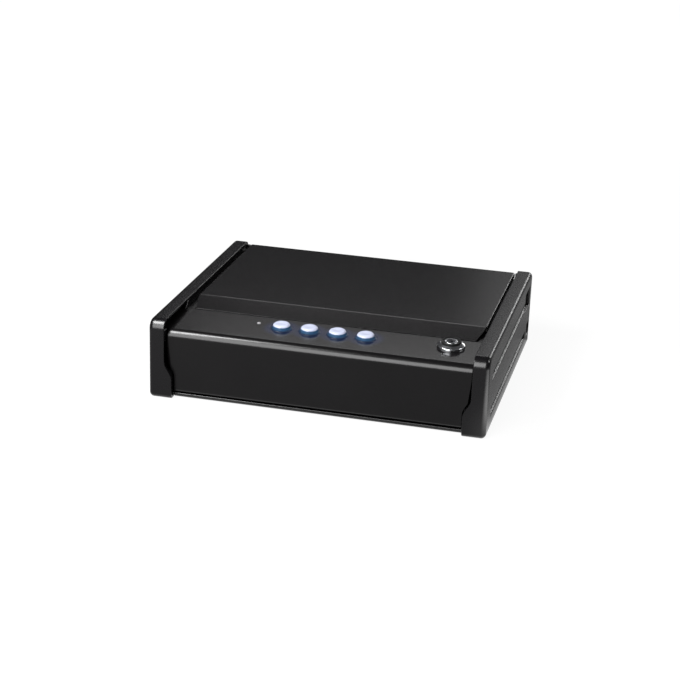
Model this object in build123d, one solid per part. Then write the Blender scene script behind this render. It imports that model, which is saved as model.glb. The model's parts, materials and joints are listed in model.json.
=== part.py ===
# Compact electronic safe: a steel lock box between two moulded end caps, with
# a keypad and a key lock on the front panel and a hinged steel lid.
# X runs to the right, Y to the back, Z up. Z = 0 is the table it stands on.
from build123d import *
import math
import os

os.makedirs("parts", exist_ok=True)

# Overall sizes
safe_width = 289.0
safe_depth = 240.0
safe_height = 70.0
sheet = 1.5
bend = 2.5

# Cutting shapes run this far past what they cut, and joined shapes this far into each other
past = 1.0
joined = 0.5

# Moulded end caps
cap_wall = 2.8
cap_lip = 2.5
cap_top_width = 13.6
cap_base_width = 20.0
jog_low = 20.5
jog_high = 31.0
jog_round = 12.0
cap_front_round = 9.0
cap_back_round = 5.5
cap_edge_round = 4.0
cap_foot_round = 3.5
cap_ground_gap = 0.4
cap_lip_depth = 8.0
cap_steel_gap = 0.5
return_wall = 1.6
rim_wall = 2.5
rim_lead = 1.5
rib_wall = 1.5
rib_gap = 1.0
rib_from_front = (65.0, 102.0)
rib_from_back = 62.0
boss_radius = 3.5
boss_bore = 2.0
boss_depth = 13.0
groove_low = 17.0
groove_drop = 22.0
groove_from_front = 20.0
groove_from_back = 29.0
groove_width = 6.4
groove_depth = 2.0
groove_fall = 0.3
groove_lip = (0.6, 1.0)
pocket_depth = 1.8
high_pocket_from_back = (40.0, 13.0)
high_pocket_drop = (28.0, 11.0)
low_pocket_from_back = (20.0, 5.0)
low_pocket_heights = (12.0, 24.0)
foot_radius = 6.0
foot_height = 2.0
foot_inset = 9.5
foot_from_end = 20.0
foot_clearance = 0.2

# Steel body
tray_bottom = 0.8
tray_overlap = 1.0
tray_front_gap = 6.0
lip_top = 4.4
lip_side_gap = 0.3
rear_recess = 6.3
side_flange_drop = 8.5
side_flange_reach = 5.1
bay_wall_drop = 5.4
rear_wall_rise = 1.0
front_wall_gap = 0.5
anchor_inset = 29.0
anchor_from_back = (135.0, 35.0)
anchor_radius = 4.25
pad_radius = 4.0

# Front fascia, one bent sheet that is also the keypad panel
fascia_round = 7.0
fascia_bottom = 5.2
panel_depth = 59.5
panel_drop = 7.6
panel_slope = 2.44
panel_reach = 5.3
face_gap = 1.15
back_flange_drop = 11.0
return_depth = 12.0
back_round = 2.0

# Bulkhead between the mechanism bay and the compartment
bulkhead_setback = 18.0
bulkhead_drop = 2.4
bulkhead_foot = 8.0
bulkhead_side_gap = 0.3

# Lid
lid_cap_gap = 2.9
lid_rear_gap = 0.4
rear_web_drop = 0.7
lid_drop = 3.0
slope_depth = 24.5
lid_front_gap = 0.8
lid_front_overlap = 0.8
lid_front_inset = 1.2
lid_side_flange = 4.5
lid_rear_inset = 3.5
lid_crest_round = 12.0
lid_edge_round = 1.8
lid_rear_clearance = 0.4

# Hinge
hinge_setback = 2.6
hinge_drop = 14.0
hinge_inset = 14.0
pin_radius = 1.25
pin_clearance = 0.05
pin_end = 1.5
knuckle_radius = 2.4
knuckle_count = 11
knuckle_gap = 0.3
leaf = 1.2
leaf_drop = 12.0
leaf_clearance = 0.5
leaf_top_gap = 0.7
body_rivet_drop = 7.5
lid_rivet_rise = 6.0
rivet_radius = 1.5
rivet_clearance = 0.05
rivet_head = 2.6
rivet_head_height = 1.0

# Screws
screw_radius = 1.5
screw_hole = 1.65
cap_screw_from_front = 35.0
cap_screw_middle = 20.0
cap_screw_from_back = 22.0
cap_screw_z = 30.0
cap_screw_radius = 1.9
cap_screw_hole = 2.1
face_screw_x = (-90.0, 0.0, 90.0)
face_screw_from_front = 13.0
face_screw_radius = 1.25
face_screw_bore = 1.3
back_screw_x = (-110.0, -40.0, 40.0, 112.0)
back_screw_drop = 7.4
bulkhead_screw_x = (-115.0, -58.0, 82.0, 115.0)
solenoid_screw_half = 10.0

# Keypad
key_count = 4
key_pitch = 24.27
key_middle_x = -3.0
key_from_front = 38.3
key_radius = 7.4
key_height = 4.6
key_crown_round = 1.8
key_travel = 1.2
key_clearance = 0.2
key_flange = 1.3
key_stem_radius = 2.2
ring_wall = 0.6
ring_flange = 1.1
ring_height = 0.9
ring_depth = 3.0
hole_clearance = 0.15
light_x = -60.9
light_from_front = 43.4
light_radius = 1.6
light_rise = 0.5

# Circuit board, measured down from the panel's face and from the line of keys
board_left = -75.0
board_right = 60.0
board_front = -17.0
board_back = 15.0
board_depth = 11.0
board_thickness = 1.6
post_inset = 4.0
post_radius = 3.0
post_bore = 1.5
switch_height = 3.8
switch_half = 3.0
switch_button = 1.7
led_offset = 5.4
led_half = (0.9, 1.5)
led_height = 1.2
chip_sizes = ((-22.0, -2.0, 12.0, 12.0, 1.8), (4.0, 4.0, 9.0, 6.0, 1.6), (22.0, -6.0, 6.0, 5.0, 1.6))
buzzer_x = 38.0
buzzer_radius = 6.0
buzzer_height = 6.0
socket_x = (-66.0, -52.0, 52.0)
socket_half = (3.5, 3.0)
socket_height = 5.0

# Key lock
lock_inset = 25.6
lock_from_front = 40.6
skirt_radius = 11.8
skirt_height = 4.4
skirt_round = 1.6
collar_radius = 8.3
collar_height = 6.0
collar_wall = 0.9
barrel_radius = 9.3
barrel_depth = 16.5
barrel_clearance = 0.2
plug_radius = 5.5
plug_clearance = 0.08
plug_wall = 0.8
key_slot = (7.0, 1.8, 8.0)
nut_radius = 14.0
nut_height = 4.0
cam_gap = 1.0
cam_thickness = 2.0
cam_pin_radius = 1.5
cam_hub = 2.4
cam_screw_radius = 1.25

# Latch
latch_travel = 8.0
latch_setback = 7.5
latch_thickness = 2.5
latch_drop = 30.4
latch_height = 10.0
latch_end = 22.0
latch_play = 0.4
guide_x = (-30.0, 40.0)
guide_half = 6.0
guide_wall = 1.6
guide_gap = 0.2
hook_rise = 4.0
hook_height = 6.0
hook_gap = 2.0
hook_reach = 11.0
striker_x = 85.0
striker_thickness = 3.0
striker_setback = 3.5
striker_width = 10.5
striker_post = 2.5
striker_clearance = 1.5
arm_rise = 5.0
arm_thickness = 2.0
arm_half = 7.0
pin_slot_gap = 0.3

# Solenoid, on the floor at the left of the bay
coil_inset = 32.0
coil_setback = 3.5
coil_radius = 9.0
coil_length = 32.0
coil_wall = 3.0
plunger_radius = 4.0
plunger_clearance = 0.08
plunger_neck = 2.5
solenoid_plate = 2.0
solenoid_foot = 17.1
spring_length = 7.5
spring_radius = 6.0
spring_clearance = 0.4
tab_half = 6.0

# Batteries
cell_radius = 7.1
cell_length = 50.0
cell_gap = 1.2
cell_side_gap = 0.6
cell_nub = 2.6
holder_x = 12.0
holder_guide_gap = 1.2
holder_wall = 1.5
holder_headroom = 1.6
contact_depth = 3.4
holder_foot_x = 45.0
cover_gap = 0.1
cover_thickness = 2.0
cover_margin = 1.5
cover_rib_gap = 0.6

# Programming key
program_inset = 26.0
program_z = 20.0
program_radius = 3.0
program_rim = 4.0
program_travel = 1.0
program_body_half = 6.0

# Soft linings and lid bumpers
floor_pad = 4.0
lid_pad = 3.0
soft_gap = 0.3
liner_gap = 0.6
liner_corner = 4.0
lid_liner_inset = 10.0
lid_liner_front = 3.0
lid_liner_back = 17.0
bumper_front = 16.0
bumper_back = 30.0
bumper_half = 7.0

# Widths that follow from the sizes above
half_width = safe_width / 2
cap_top_inner = half_width - cap_top_width
cap_base_inner = half_width - cap_base_width
tray_outer_half = cap_base_inner + tray_overlap
tray_inner_half = tray_outer_half - sheet
side_flange_half = cap_top_inner + side_flange_reach
panel_half = cap_top_inner + panel_reach
lid_half = cap_top_inner - lid_cap_gap
lid_front_half = tray_inner_half - lid_front_inset
lid_rear_half = lid_half - lid_rear_inset
foot_x = half_width - foot_inset
anchor_x = tray_inner_half - anchor_inset
lock_x = cap_top_inner - lock_inset
program_x = tray_inner_half - program_inset
hinge_half = tray_inner_half - hinge_inset
knuckle_pitch = hinge_half * 2 / knuckle_count

# Depths, from the front to the back
front = -safe_depth / 2
back = safe_depth / 2
tray_front = front + tray_front_gap
tray_back = back - rear_recess
lip_back = front + cap_lip_depth
wall_front = lip_back + front_wall_gap
panel_back_y = front + panel_depth
slope_back_y = panel_back_y + slope_depth
lid_front_y = panel_back_y + lid_front_gap
rim_front = panel_back_y - rim_lead
bulkhead_back = panel_back_y + bulkhead_setback
bulkhead_front = bulkhead_back - sheet
bulkhead_screw_y = bulkhead_front - 3.5
hinge_y = tray_back + hinge_setback
key_y = front + key_from_front
light_y = front + light_from_front
lock_y = front + lock_from_front
face_screw_y = front + face_screw_from_front
latch_y = panel_back_y + latch_setback
latch_back_y = latch_y + latch_thickness
striker_front = panel_back_y + striker_setback
striker_back = striker_front + striker_width
cap_screw_y = (front + cap_screw_from_front, cap_screw_middle, back - cap_screw_from_back)
rib_y = (front + rib_from_front[0], front + rib_from_front[1], back - rib_from_back)
foot_y = (front + foot_from_end, back - foot_from_end)
anchor_y = (back - anchor_from_back[0], back - anchor_from_back[1])

# Heights
floor_top = tray_bottom + sheet
side_flange_top = safe_height - side_flange_drop
rear_wall_top = side_flange_top + rear_wall_rise
panel_back_z = safe_height - panel_drop
bay_wall_top = panel_back_z - bay_wall_drop
back_screw_z = panel_back_z - back_screw_drop
bulkhead_top = panel_back_z - bulkhead_drop
lid_top = safe_height - lid_drop
lid_front_z = side_flange_top + sheet - lid_front_overlap
lid_rise = (lid_top - lid_front_z) / (slope_back_y - lid_front_y)
hinge_z = safe_height - hinge_drop
body_rivet_z = hinge_z - body_rivet_drop
lid_rivet_z = hinge_z + lid_rivet_rise
groove_heights = (groove_low, safe_height - groove_drop)
slope_tan = math.tan(math.radians(panel_slope))
face_corner_z = panel_back_z + (tray_front - panel_back_y) * slope_tan
latch_low = panel_back_z - latch_drop
latch_high = latch_low + latch_height
hook_low = latch_high + hook_rise
hook_high = hook_low + hook_height
striker_end = latch_high + 0.6
arm_low = latch_low + arm_rise
coil_z = floor_top + solenoid_plate + coil_radius + 1.2

# Keys, lock and latch
key_left_x = key_middle_x - key_pitch * (key_count - 1) / 2
key_x = [key_left_x + key_pitch * i for i in range(key_count)]
ring_bore = key_radius + key_clearance
ring_outer = ring_bore + ring_wall
key_hole = ring_outer + hole_clearance
cam_reach = latch_travel / 2
cam_radius = cam_reach * math.sqrt(2)
cam_depth = barrel_depth + cam_gap
cam_y = lock_y + (cam_depth + cam_thickness) * math.sin(math.radians(panel_slope))
coil_x = coil_inset - tray_inner_half
coil_y = panel_back_y - coil_setback
coil_right = coil_x + coil_length / 2
tab_x = coil_right + solenoid_plate + spring_length + 1.0
solenoid_screw_x = (coil_x - solenoid_screw_half, coil_x + solenoid_screw_half)
solenoid_screw_y = coil_y - 13.5

# Battery holder
holder_inner_half = (cell_length * 2 + cell_gap) / 2 + contact_depth
holder_high = latch_low - guide_gap - guide_wall - holder_guide_gap
holder_low = holder_high - 2 * holder_wall - 2 * cell_radius - holder_headroom
holder_front = bulkhead_front - 2 * holder_wall - 4 * cell_radius - 3.0
cell_z = holder_low + holder_wall + cell_radius + 0.1
cell_front = holder_front + holder_wall + 0.4 + cell_radius
cell_rows = (cell_front, cell_front + 2 * cell_radius + cell_side_gap)

# Fixing points that repeat
floor_screws = [(x, bulkhead_screw_y) for x in bulkhead_screw_x]
floor_screws += [(x, solenoid_screw_y) for x in solenoid_screw_x]
body_rivet_x = [knuckle_pitch * (2 * i - 5) for i in range(6)]
lid_rivet_x = [knuckle_pitch * (2 * i - 4) for i in range(5)]
post_spots = [
    (x, y)
    for x in (board_left + post_inset, board_right - post_inset)
    for y in (board_front + post_inset, board_back - post_inset)
]


def block(x0, x1, y0, y1, z0, z1):
    middle = Pos((x0 + x1) / 2, (y0 + y1) / 2, (z0 + z1) / 2)
    return middle * Box(abs(x1 - x0), abs(y1 - y0), abs(z1 - z0))


def round_bar(start, end, radius):
    start = Vector(*start)
    end = Vector(*end)
    plane = Plane(origin=start, z_dir=end - start)
    return extrude(plane * Circle(radius), (end - start).length)


def side_profile(points, x0, x1):
    # A closed outline of (y, z) points, drawn out along X
    face = Plane.YZ * make_face(Polyline(*points, close=True))
    return Pos(x0, 0, 0) * extrude(face, x1 - x0)


def front_profile(points, y0, y1, soft=()):
    # A closed outline of (x, z) points, drawn out along Y, its soft corners rounded like the jog
    outline = make_face(Polyline(*points, close=True))
    for x, z in soft:
        corner = outline.vertices().sort_by_distance((x, z, 0))[0]
        outline = fillet(corner, jog_round)
    return Pos(0, y0, 0) * extrude(Plane.XZ * outline, y0 - y1)


def mirrored(shape):
    return mirror(shape, Plane.YZ)


def edges_at(shape, **limits):
    # The edges whose middle lies at the given coordinates, or between two of them
    slack = 0.01
    found = ShapeList()
    for edge in shape.edges():
        middle = edge.center(CenterOf.BOUNDING_BOX)
        spot = {"x": middle.X, "y": middle.Y, "z": middle.Z}
        inside = True
        for axis, limit in limits.items():
            low, high = limit if isinstance(limit, tuple) else (limit, limit)
            inside = inside and low - slack <= spot[axis] <= high + slack
        if inside:
            found.append(edge)
    return found


def save(node, *shapes):
    solids = [solid for shape in shapes for solid in shape.solids()]
    export_step(solids[0] if len(solids) == 1 else Compound(solids), f"parts/{node}.step")


def panel_z(y):
    return panel_back_z + (y - panel_back_y) * slope_tan


def on_panel(x, y):
    # A plane on the keypad panel's face, its Z square to the panel
    lean = math.radians(panel_slope)
    normal = (0, -math.sin(lean), math.cos(lean))
    return Plane(origin=(x, y, panel_z(y)), x_dir=(1, 0, 0), z_dir=normal)


def disc(radius, low, high):
    return Pos(0, 0, low) * extrude(Circle(radius), high - low)


def make_cap():
    # Right-hand cap; the left one is its mirror image
    box_points = [
        (front, cap_ground_gap),
        (back, cap_ground_gap),
        (back, safe_height),
        (front, safe_height),
    ]
    cap = side_profile(box_points, cap_base_inner, half_width)
    cap = fillet(edges_at(cap, y=front, z=safe_height), cap_front_round)
    cap = fillet(edges_at(cap, y=back, z=safe_height), cap_back_round)
    cap = fillet(edges_at(cap, y=front, z=cap_ground_gap), cap_foot_round)
    cap = fillet(edges_at(cap, y=back, z=cap_ground_gap), cap_foot_round)
    cap = fillet(cap.faces().sort_by(Axis.X)[-1].edges(), cap_edge_round)

    # The front wall narrows upwards in a jog, the rear wall reaches to the lid's edge, and the rest
    # clears the steel body
    jog = [
        (cap_base_inner, -past),
        (cap_base_inner, jog_low),
        (cap_top_inner, jog_high),
        (cap_top_inner, safe_height + past),
        (cap_base_inner - past, safe_height + past),
        (cap_base_inner - past, -past),
    ]
    cap -= front_profile(jog, front - past, lip_back, jog[1:3])
    steel_clear = tray_outer_half + cap_steel_gap
    cap -= block(0, steel_clear, lip_back, back + past, 0, safe_height + past)
    rear_top = side_flange_top - sheet
    cap -= block(0, cap_top_inner, lip_back, back - cap_wall, rear_top, safe_height + past)
    web_inner = lid_half + lid_rear_gap
    web_front = back - cap_wall - past
    cap -= block(0, web_inner, web_front, back + past, rear_top, safe_height + past)
    cap -= block(0, cap_top_inner, web_front, back + past, lid_top - rear_web_drop, safe_height + past)

    # Hollow inside, open towards the steel body
    inside = block(
        cap_base_inner - past, half_width - cap_wall, front + cap_wall, back - cap_wall,
        cap_ground_gap + cap_wall, safe_height - cap_lip,
    )
    front_corner = edges_at(inside, y=front + cap_wall, z=safe_height - cap_lip)
    cap -= fillet(front_corner, cap_front_round - cap_wall)

    # Return wall of the front lip, and the rim wall beside the lid
    wall_drop = 0.6
    lip_points = [
        (cap_base_inner, cap_ground_gap + cap_foot_round),
        (cap_base_inner, jog_low),
        (cap_top_inner, jog_high),
        (cap_top_inner, safe_height - cap_front_round),
        (cap_top_inner + return_wall, safe_height - cap_front_round),
        (cap_top_inner + return_wall, jog_high - wall_drop),
        (cap_base_inner + return_wall, jog_low - wall_drop),
        (cap_base_inner + return_wall, cap_ground_gap + cap_foot_round),
    ]
    soft_points = lip_points[1:3] + lip_points[5:7]
    cap += front_profile(lip_points, front + cap_wall - joined, lip_back, soft_points)
    rim_points = [
        (rim_front - 2, side_flange_top),
        (back - cap_wall + joined, side_flange_top),
        (back - cap_wall + joined, safe_height - cap_lip + joined),
        (rim_front + 6, safe_height - cap_lip + joined),
    ]
    cap += side_profile(rim_points, cap_top_inner, cap_top_inner + rim_wall)

    # Screw bosses and stiffening ribs inside
    boss_end = half_width - cap_wall + joined
    for y in cap_screw_y:
        seat = (tray_outer_half, y, cap_screw_z)
        cap += round_bar(seat, (boss_end, y, cap_screw_z), boss_radius)
        cap -= round_bar(seat, (tray_outer_half + boss_depth, y, cap_screw_z), boss_bore)
    rib_x = side_flange_half + rib_gap
    for y in rib_y:
        cap += block(
            rib_x, boss_end, y - rib_wall / 2, y + rib_wall / 2,
            cap_ground_gap + cap_wall - joined, safe_height - cap_lip + joined,
        )

    # Long grooves with a ledge that falls off to a sloped lower lip, and the pockets at the back
    for z in groove_heights:
        high = z + groove_width / 2
        ledge = z - groove_width / 2
        groove = [
            (half_width + past, high),
            (half_width - groove_depth, high),
            (half_width - groove_depth, ledge + groove_fall),
            (half_width - groove_lip[0], ledge),
            (half_width, ledge - groove_lip[1]),
            (half_width + past, ledge - groove_lip[1]),
        ]
        cap -= front_profile(groove, front + groove_from_front, back - groove_from_back)
    high_ends = [back - inset for inset in high_pocket_from_back]
    high_heights = [safe_height - drop for drop in high_pocket_drop]
    low_ends = [back - inset for inset in low_pocket_from_back]
    for ends, heights in ((high_ends, high_heights), (low_ends, low_pocket_heights)):
        cap -= block(half_width - pocket_depth, half_width + past, *ends, *heights)

    # Recesses for the rubber feet
    for y in foot_y:
        cap -= Pos(foot_x, y, 0) * disc(foot_radius + foot_clearance, 0, foot_height)
    return cap


def make_feet():
    pads = []
    for x in (-foot_x, foot_x):
        for y in foot_y:
            pads.append(Pos(x, y, 0) * disc(foot_radius, 0, foot_height))
    return pads


def make_tray():
    # Floor, side walls, rear wall and the low front lip, bent from one sheet
    outer = block(
        -tray_outer_half, tray_outer_half, tray_front, tray_back, tray_bottom, rear_wall_top
    )
    outer = fillet(edges_at(outer, y=tray_back, z=(20, 50)) + edges_at(outer, z=tray_bottom), bend)
    inner = block(
        -tray_inner_half, tray_inner_half, tray_front + sheet, tray_back - sheet,
        floor_top, rear_wall_top + past,
    )
    corners = edges_at(inner, y=tray_back - sheet, z=(20, 50)) + edges_at(inner, z=floor_top)
    inner = fillet(corners, bend - sheet)
    tray = outer - inner
    high = rear_wall_top + past
    inside = tray_inner_half - past
    lip_half = cap_base_inner - lip_side_gap
    tray -= block(-half_width, half_width, front, wall_front, lip_top, high)
    for side in (-1, 1):
        tray -= block(side * lip_half, side * half_width, front, wall_front, 0, high)
        tray -= block(side * inside, side * half_width, front, panel_back_y, bay_wall_top, high)
        tray -= block(side * inside, side * half_width, front, back, side_flange_top, high)
        tray += block(
            side * (tray_outer_half - joined), side * side_flange_half, panel_back_y + front_wall_gap,
            tray_back, side_flange_top - sheet, side_flange_top,
        )
        for y in cap_screw_y:
            hole_start = (side * inside, y, cap_screw_z)
            hole_end = (side * (tray_outer_half + past), y, cap_screw_z)
            tray -= round_bar(hole_start, hole_end, cap_screw_hole)
        for y in anchor_y:
            tray -= Pos(side * anchor_x, y, 0) * disc(anchor_radius, 0, floor_top + past)
    for x, y in floor_screws:
        tray -= Pos(x, y, 0) * disc(screw_hole, 0, floor_top + past)
    for x in face_screw_x:
        tray += Pos(x, face_screw_y, 0) * disc(pad_radius, floor_top - joined, fascia_bottom)
        tray -= Pos(x, face_screw_y, 0) * disc(face_screw_bore, floor_top, fascia_bottom + past)
    for x in body_rivet_x:
        tray -= rivet_bore(x, tray_back - sheet, tray_back, body_rivet_z)
    return tray


def screw(seat, direction, length, shank=screw_radius, head=2.8, head_height=1.6):
    # Pan-head screw: seat is the middle of the face under its head
    plane = Plane(origin=seat, z_dir=direction)
    body = disc(shank, 0, length)
    top = disc(head, -head_height, 0)
    top = fillet(top.faces().sort_by(Axis.Z)[0].edges(), head_height * 0.45)
    cross = Pos(0, 0, -head_height) * (Box(0.7, head * 1.1, 1.2) + Box(head * 1.1, 0.7, 1.2))
    return plane * (body + top - cross)


def rivet_bore(x, y0, y1, z):
    return round_bar((x, y0 - past, z), (x, y1 + past, z), rivet_radius + rivet_clearance)


def make_fascia():
    back_low = panel_back_z - back_flange_drop
    return_back = tray_front + return_depth
    outer = [
        (panel_back_y, back_low),
        (panel_back_y, panel_back_z),
        (tray_front, face_corner_z),
        (tray_front, fascia_bottom),
        (return_back, fascia_bottom),
        (return_back, back_low),
    ]
    shell = side_profile(outer, -panel_half, panel_half)
    shell = fillet(edges_at(shell, y=tray_front, z=face_corner_z), fascia_round)
    shell = fillet(edges_at(shell, y=panel_back_y, z=panel_back_z), back_round)
    shell = fillet(edges_at(shell, y=tray_front, z=fascia_bottom), bend)
    lean = math.radians(panel_slope)
    down = sheet / math.cos(lean)
    in_front = tray_front + sheet
    in_back = panel_back_y - sheet
    inner = [
        (in_back, 0),
        (in_back, panel_z(in_back) - down),
        (in_front, panel_z(in_front) - down),
        (in_front, fascia_bottom + sheet),
        (return_back + 5, fascia_bottom + sheet),
        (return_back + 5, 0),
    ]
    void = side_profile(inner, -panel_half - past, panel_half + past)
    void = fillet(edges_at(void, y=in_front, z=panel_z(in_front) - down), fascia_round - sheet)
    void = fillet(edges_at(void, y=in_front, z=fascia_bottom + sheet), bend - sheet)
    shell -= void

    # The face follows the caps' inner edge; the panel reaches out under their lips
    wide_front = tray_front + fascia_round
    face_half = cap_top_inner - face_gap
    base_half = cap_base_inner - face_gap
    for side in (-1, 1):
        trim = [
            (side * base_half, 0),
            (side * base_half, jog_low),
            (side * face_half, jog_high),
            (side * face_half, safe_height),
            (side * half_width, safe_height),
            (side * half_width, 0),
        ]
        shell -= front_profile(trim, front, wide_front, trim[1:3])
        shell -= block(side * face_half, side * half_width, rim_front - 2.6, 0, 0, safe_height)
        shell -= block(side * tray_inner_half, side * half_width, in_back - 0.01, 0, 0, panel_back_z - 4)
        inset = tray_inner_half - 2
        shell -= block(side * inset, side * half_width, wall_front, return_back + past, 0, bay_wall_top)

    low = -sheet - past
    for x in key_x:
        shell -= on_panel(x, key_y) * disc(key_hole, low, past)
    shell -= on_panel(light_x, light_y) * disc(light_radius + hole_clearance, low, past)
    shell -= on_panel(lock_x, lock_y) * disc(barrel_radius + barrel_clearance, low, past)
    for x in back_screw_x:
        hole_end = (x, panel_back_y + past, back_screw_z)
        shell -= round_bar((x, in_back - past, back_screw_z), hole_end, screw_hole)
    for x in face_screw_x:
        hole = disc(screw_hole, fascia_bottom - past, fascia_bottom + sheet + past)
        shell -= Pos(x, face_screw_y, 0) * hole
    return shell


def make_bulkhead():
    half = tray_inner_half - bulkhead_side_gap
    wall = block(-half, half, bulkhead_front, bulkhead_back, floor_top, bulkhead_top)
    wall += block(-half, half, panel_back_y, bulkhead_back, bulkhead_top - sheet, bulkhead_top)
    wall += block(
        -half, half, panel_back_y, panel_back_y + sheet,
        panel_back_z - back_flange_drop, bulkhead_top,
    )
    wall += block(-half, half, bulkhead_front - bulkhead_foot, bulkhead_back, floor_top, floor_top + sheet)
    for side in (-1, 1):
        wall -= block(side * (half - bend), side * half_width, front, back, 0, floor_top + bend)
    for x in (-striker_x, striker_x):
        gap = striker_clearance + striker_thickness / 2
        wall -= block(
            x - gap, x + gap, striker_front - striker_clearance, striker_back + striker_clearance,
            bulkhead_top - sheet - past, bulkhead_top + past,
        )
    wall -= block(
        holder_x - holder_inner_half, holder_x + holder_inner_half,
        bulkhead_front - past, bulkhead_back + past,
        holder_low + holder_wall, holder_high - holder_wall,
    )
    hole_start = (program_x, bulkhead_front - past, program_z)
    hole_end = (program_x, bulkhead_back + past, program_z)
    wall -= round_bar(hole_start, hole_end, program_radius + hole_clearance)
    for x in back_screw_x:
        hole_end = (x, panel_back_y + sheet + past, back_screw_z)
        wall -= round_bar((x, panel_back_y - past, back_screw_z), hole_end, screw_hole)
    for x in bulkhead_screw_x:
        wall -= Pos(x, bulkhead_screw_y, 0) * disc(screw_hole, floor_top - past, floor_top + sheet + past)
    return wall


def make_holder():
    outer_half = holder_inner_half + holder_wall
    shell = block(
        holder_x - outer_half, holder_x + outer_half, holder_front, bulkhead_front,
        holder_low, holder_high,
    )
    shell -= block(
        holder_x - holder_inner_half, holder_x + holder_inner_half,
        holder_front + holder_wall, bulkhead_front + past,
        holder_low + holder_wall, holder_high - holder_wall,
    )
    for x in (holder_x - holder_foot_x, holder_x + holder_foot_x):
        foot_back = bulkhead_front - bulkhead_foot - 2
        shell += block(x - 4, x + 4, holder_front + 2, foot_back, floor_top, holder_low + joined)
    return shell


def make_cells():
    cells = []
    for y in cell_rows:
        for side in (-1, 1):
            start = holder_x + side * cell_gap / 2
            end = start + side * (cell_length - 1)
            can = round_bar((start, y, cell_z), (end, y, cell_z), cell_radius)
            button = round_bar((end - side * joined, y, cell_z), (end + side, y, cell_z), cell_nub)
            cells.append(can + button)
    return cells


def make_contacts():
    # A plate at each end of the holder, with a raised nub against each cell
    contacts = []
    for side in (-1, 1):
        wall_x = holder_x + side * holder_inner_half
        plate = block(
            wall_x - side * 0.8, wall_x, cell_rows[0] - 5, cell_rows[1] + 5,
            cell_z - 5.5, cell_z + 5.5,
        )
        reach = holder_x + side * (cell_gap / 2 + cell_length + 0.2)
        for y in cell_rows:
            plate += round_bar((wall_x - side * 0.4, y, cell_z), (reach, y, cell_z), 3.0)
        contacts.append(plate)
    return contacts


def make_cover():
    outer_half = holder_inner_half + holder_wall + cover_margin
    back_face = bulkhead_back + cover_gap
    cover = block(
        holder_x - outer_half, holder_x + outer_half, back_face, back_face + cover_thickness,
        holder_low - 0.6, holder_high + 0.6,
    )
    cover = fillet(cover.edges().filter_by(Axis.Y), 2.0)
    rib = block(
        holder_x - holder_inner_half + cover_rib_gap, holder_x + holder_inner_half - cover_rib_gap,
        back_face - 3.4, back_face + joined,
        holder_low + holder_wall + cover_rib_gap, holder_high - holder_wall - cover_rib_gap,
    )
    rib -= block(
        holder_x - holder_inner_half + 2, holder_x + holder_inner_half - 2, back_face - 4, back_face,
        holder_low + holder_wall + 2, holder_high - holder_wall - 2,
    )
    tab = block(
        holder_x - 9, holder_x + 9, back_face + cover_thickness - 0.5,
        back_face + cover_thickness + 2, holder_high - 3.4, holder_high - 1.4,
    )
    return cover + rib + tab


def make_liner(half, y0, y1, z0, z1):
    pad = block(-half, half, y0, y1, z0, z1)
    return fillet(pad.edges().filter_by(Axis.Z), liner_corner)


def lid_underside(y):
    return lid_front_z + (y - lid_front_y) * lid_rise - sheet / math.cos(math.atan(lid_rise))


def make_lid():
    low = hinge_z + knuckle_radius + lid_rear_clearance
    outer = [
        (lid_front_y, low - 5),
        (lid_front_y, lid_front_z),
        (slope_back_y, lid_top),
        (back, lid_top),
        (back, low - 5),
    ]
    shell = side_profile(outer, -lid_half, lid_half)
    shell = fillet(edges_at(shell, y=slope_back_y, z=lid_top), lid_crest_round)
    shell = fillet(edges_at(shell, y=back, z=lid_top), bend)
    sides = edges_at(shell, x=lid_half, z=lid_top) + edges_at(shell, x=-lid_half, z=lid_top)
    shell = fillet(sides, lid_edge_round)
    flat = lid_top - sheet
    crease = slope_back_y + (flat - lid_underside(slope_back_y)) / lid_rise
    ahead = lid_front_y - 5
    inner = [
        (ahead, low - 10),
        (ahead, lid_underside(ahead)),
        (crease, flat),
        (back - sheet, flat),
        (back - sheet, low - 10),
    ]
    shell -= side_profile(inner, -lid_half + sheet, lid_half - sheet)
    under_slope = [inner[0], inner[1], inner[2], (crease, low - 10)]
    shell -= side_profile(under_slope, -lid_half - past, lid_half + past)
    flange_low = lid_top - lid_side_flange
    for side in (-1, 1):
        outside = side * (lid_half + past)
        shell -= block(side * lid_rear_half, outside, ahead, back + past, 0, flange_low)
        taper = make_face(
            Polyline(
                (side * lid_half, slope_back_y),
                (side * lid_front_half, lid_front_y),
                (side * lid_front_half, ahead),
                (outside, ahead),
                (outside, slope_back_y),
                close=True,
            )
        )
        shell -= Pos(0, 0, low - 5) * extrude(taper, safe_height - low + 5)
    shell -= block(-lid_half, lid_half, back - bend, back + past, 0, low)
    for x in lid_rivet_x:
        shell -= rivet_bore(x, back - sheet, back, lid_rivet_z)
    return shell


def make_strikers():
    # Plates welded under the lid's slope, each with a window for a latch hook
    plates = []
    for x in (-striker_x, striker_x):
        points = [
            (striker_front, striker_end),
            (striker_back, striker_end),
            (striker_back, lid_underside(striker_back)),
            (striker_front, lid_underside(striker_front)),
        ]
        half = striker_thickness / 2
        plate = side_profile(points, x - half, x + half)
        plate -= block(
            x - half - past, x + half + past, striker_front + striker_post, striker_back - striker_post,
            hook_low - latch_play, hook_high + striker_clearance,
        )
        plates.append(plate)
    return plates


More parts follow.
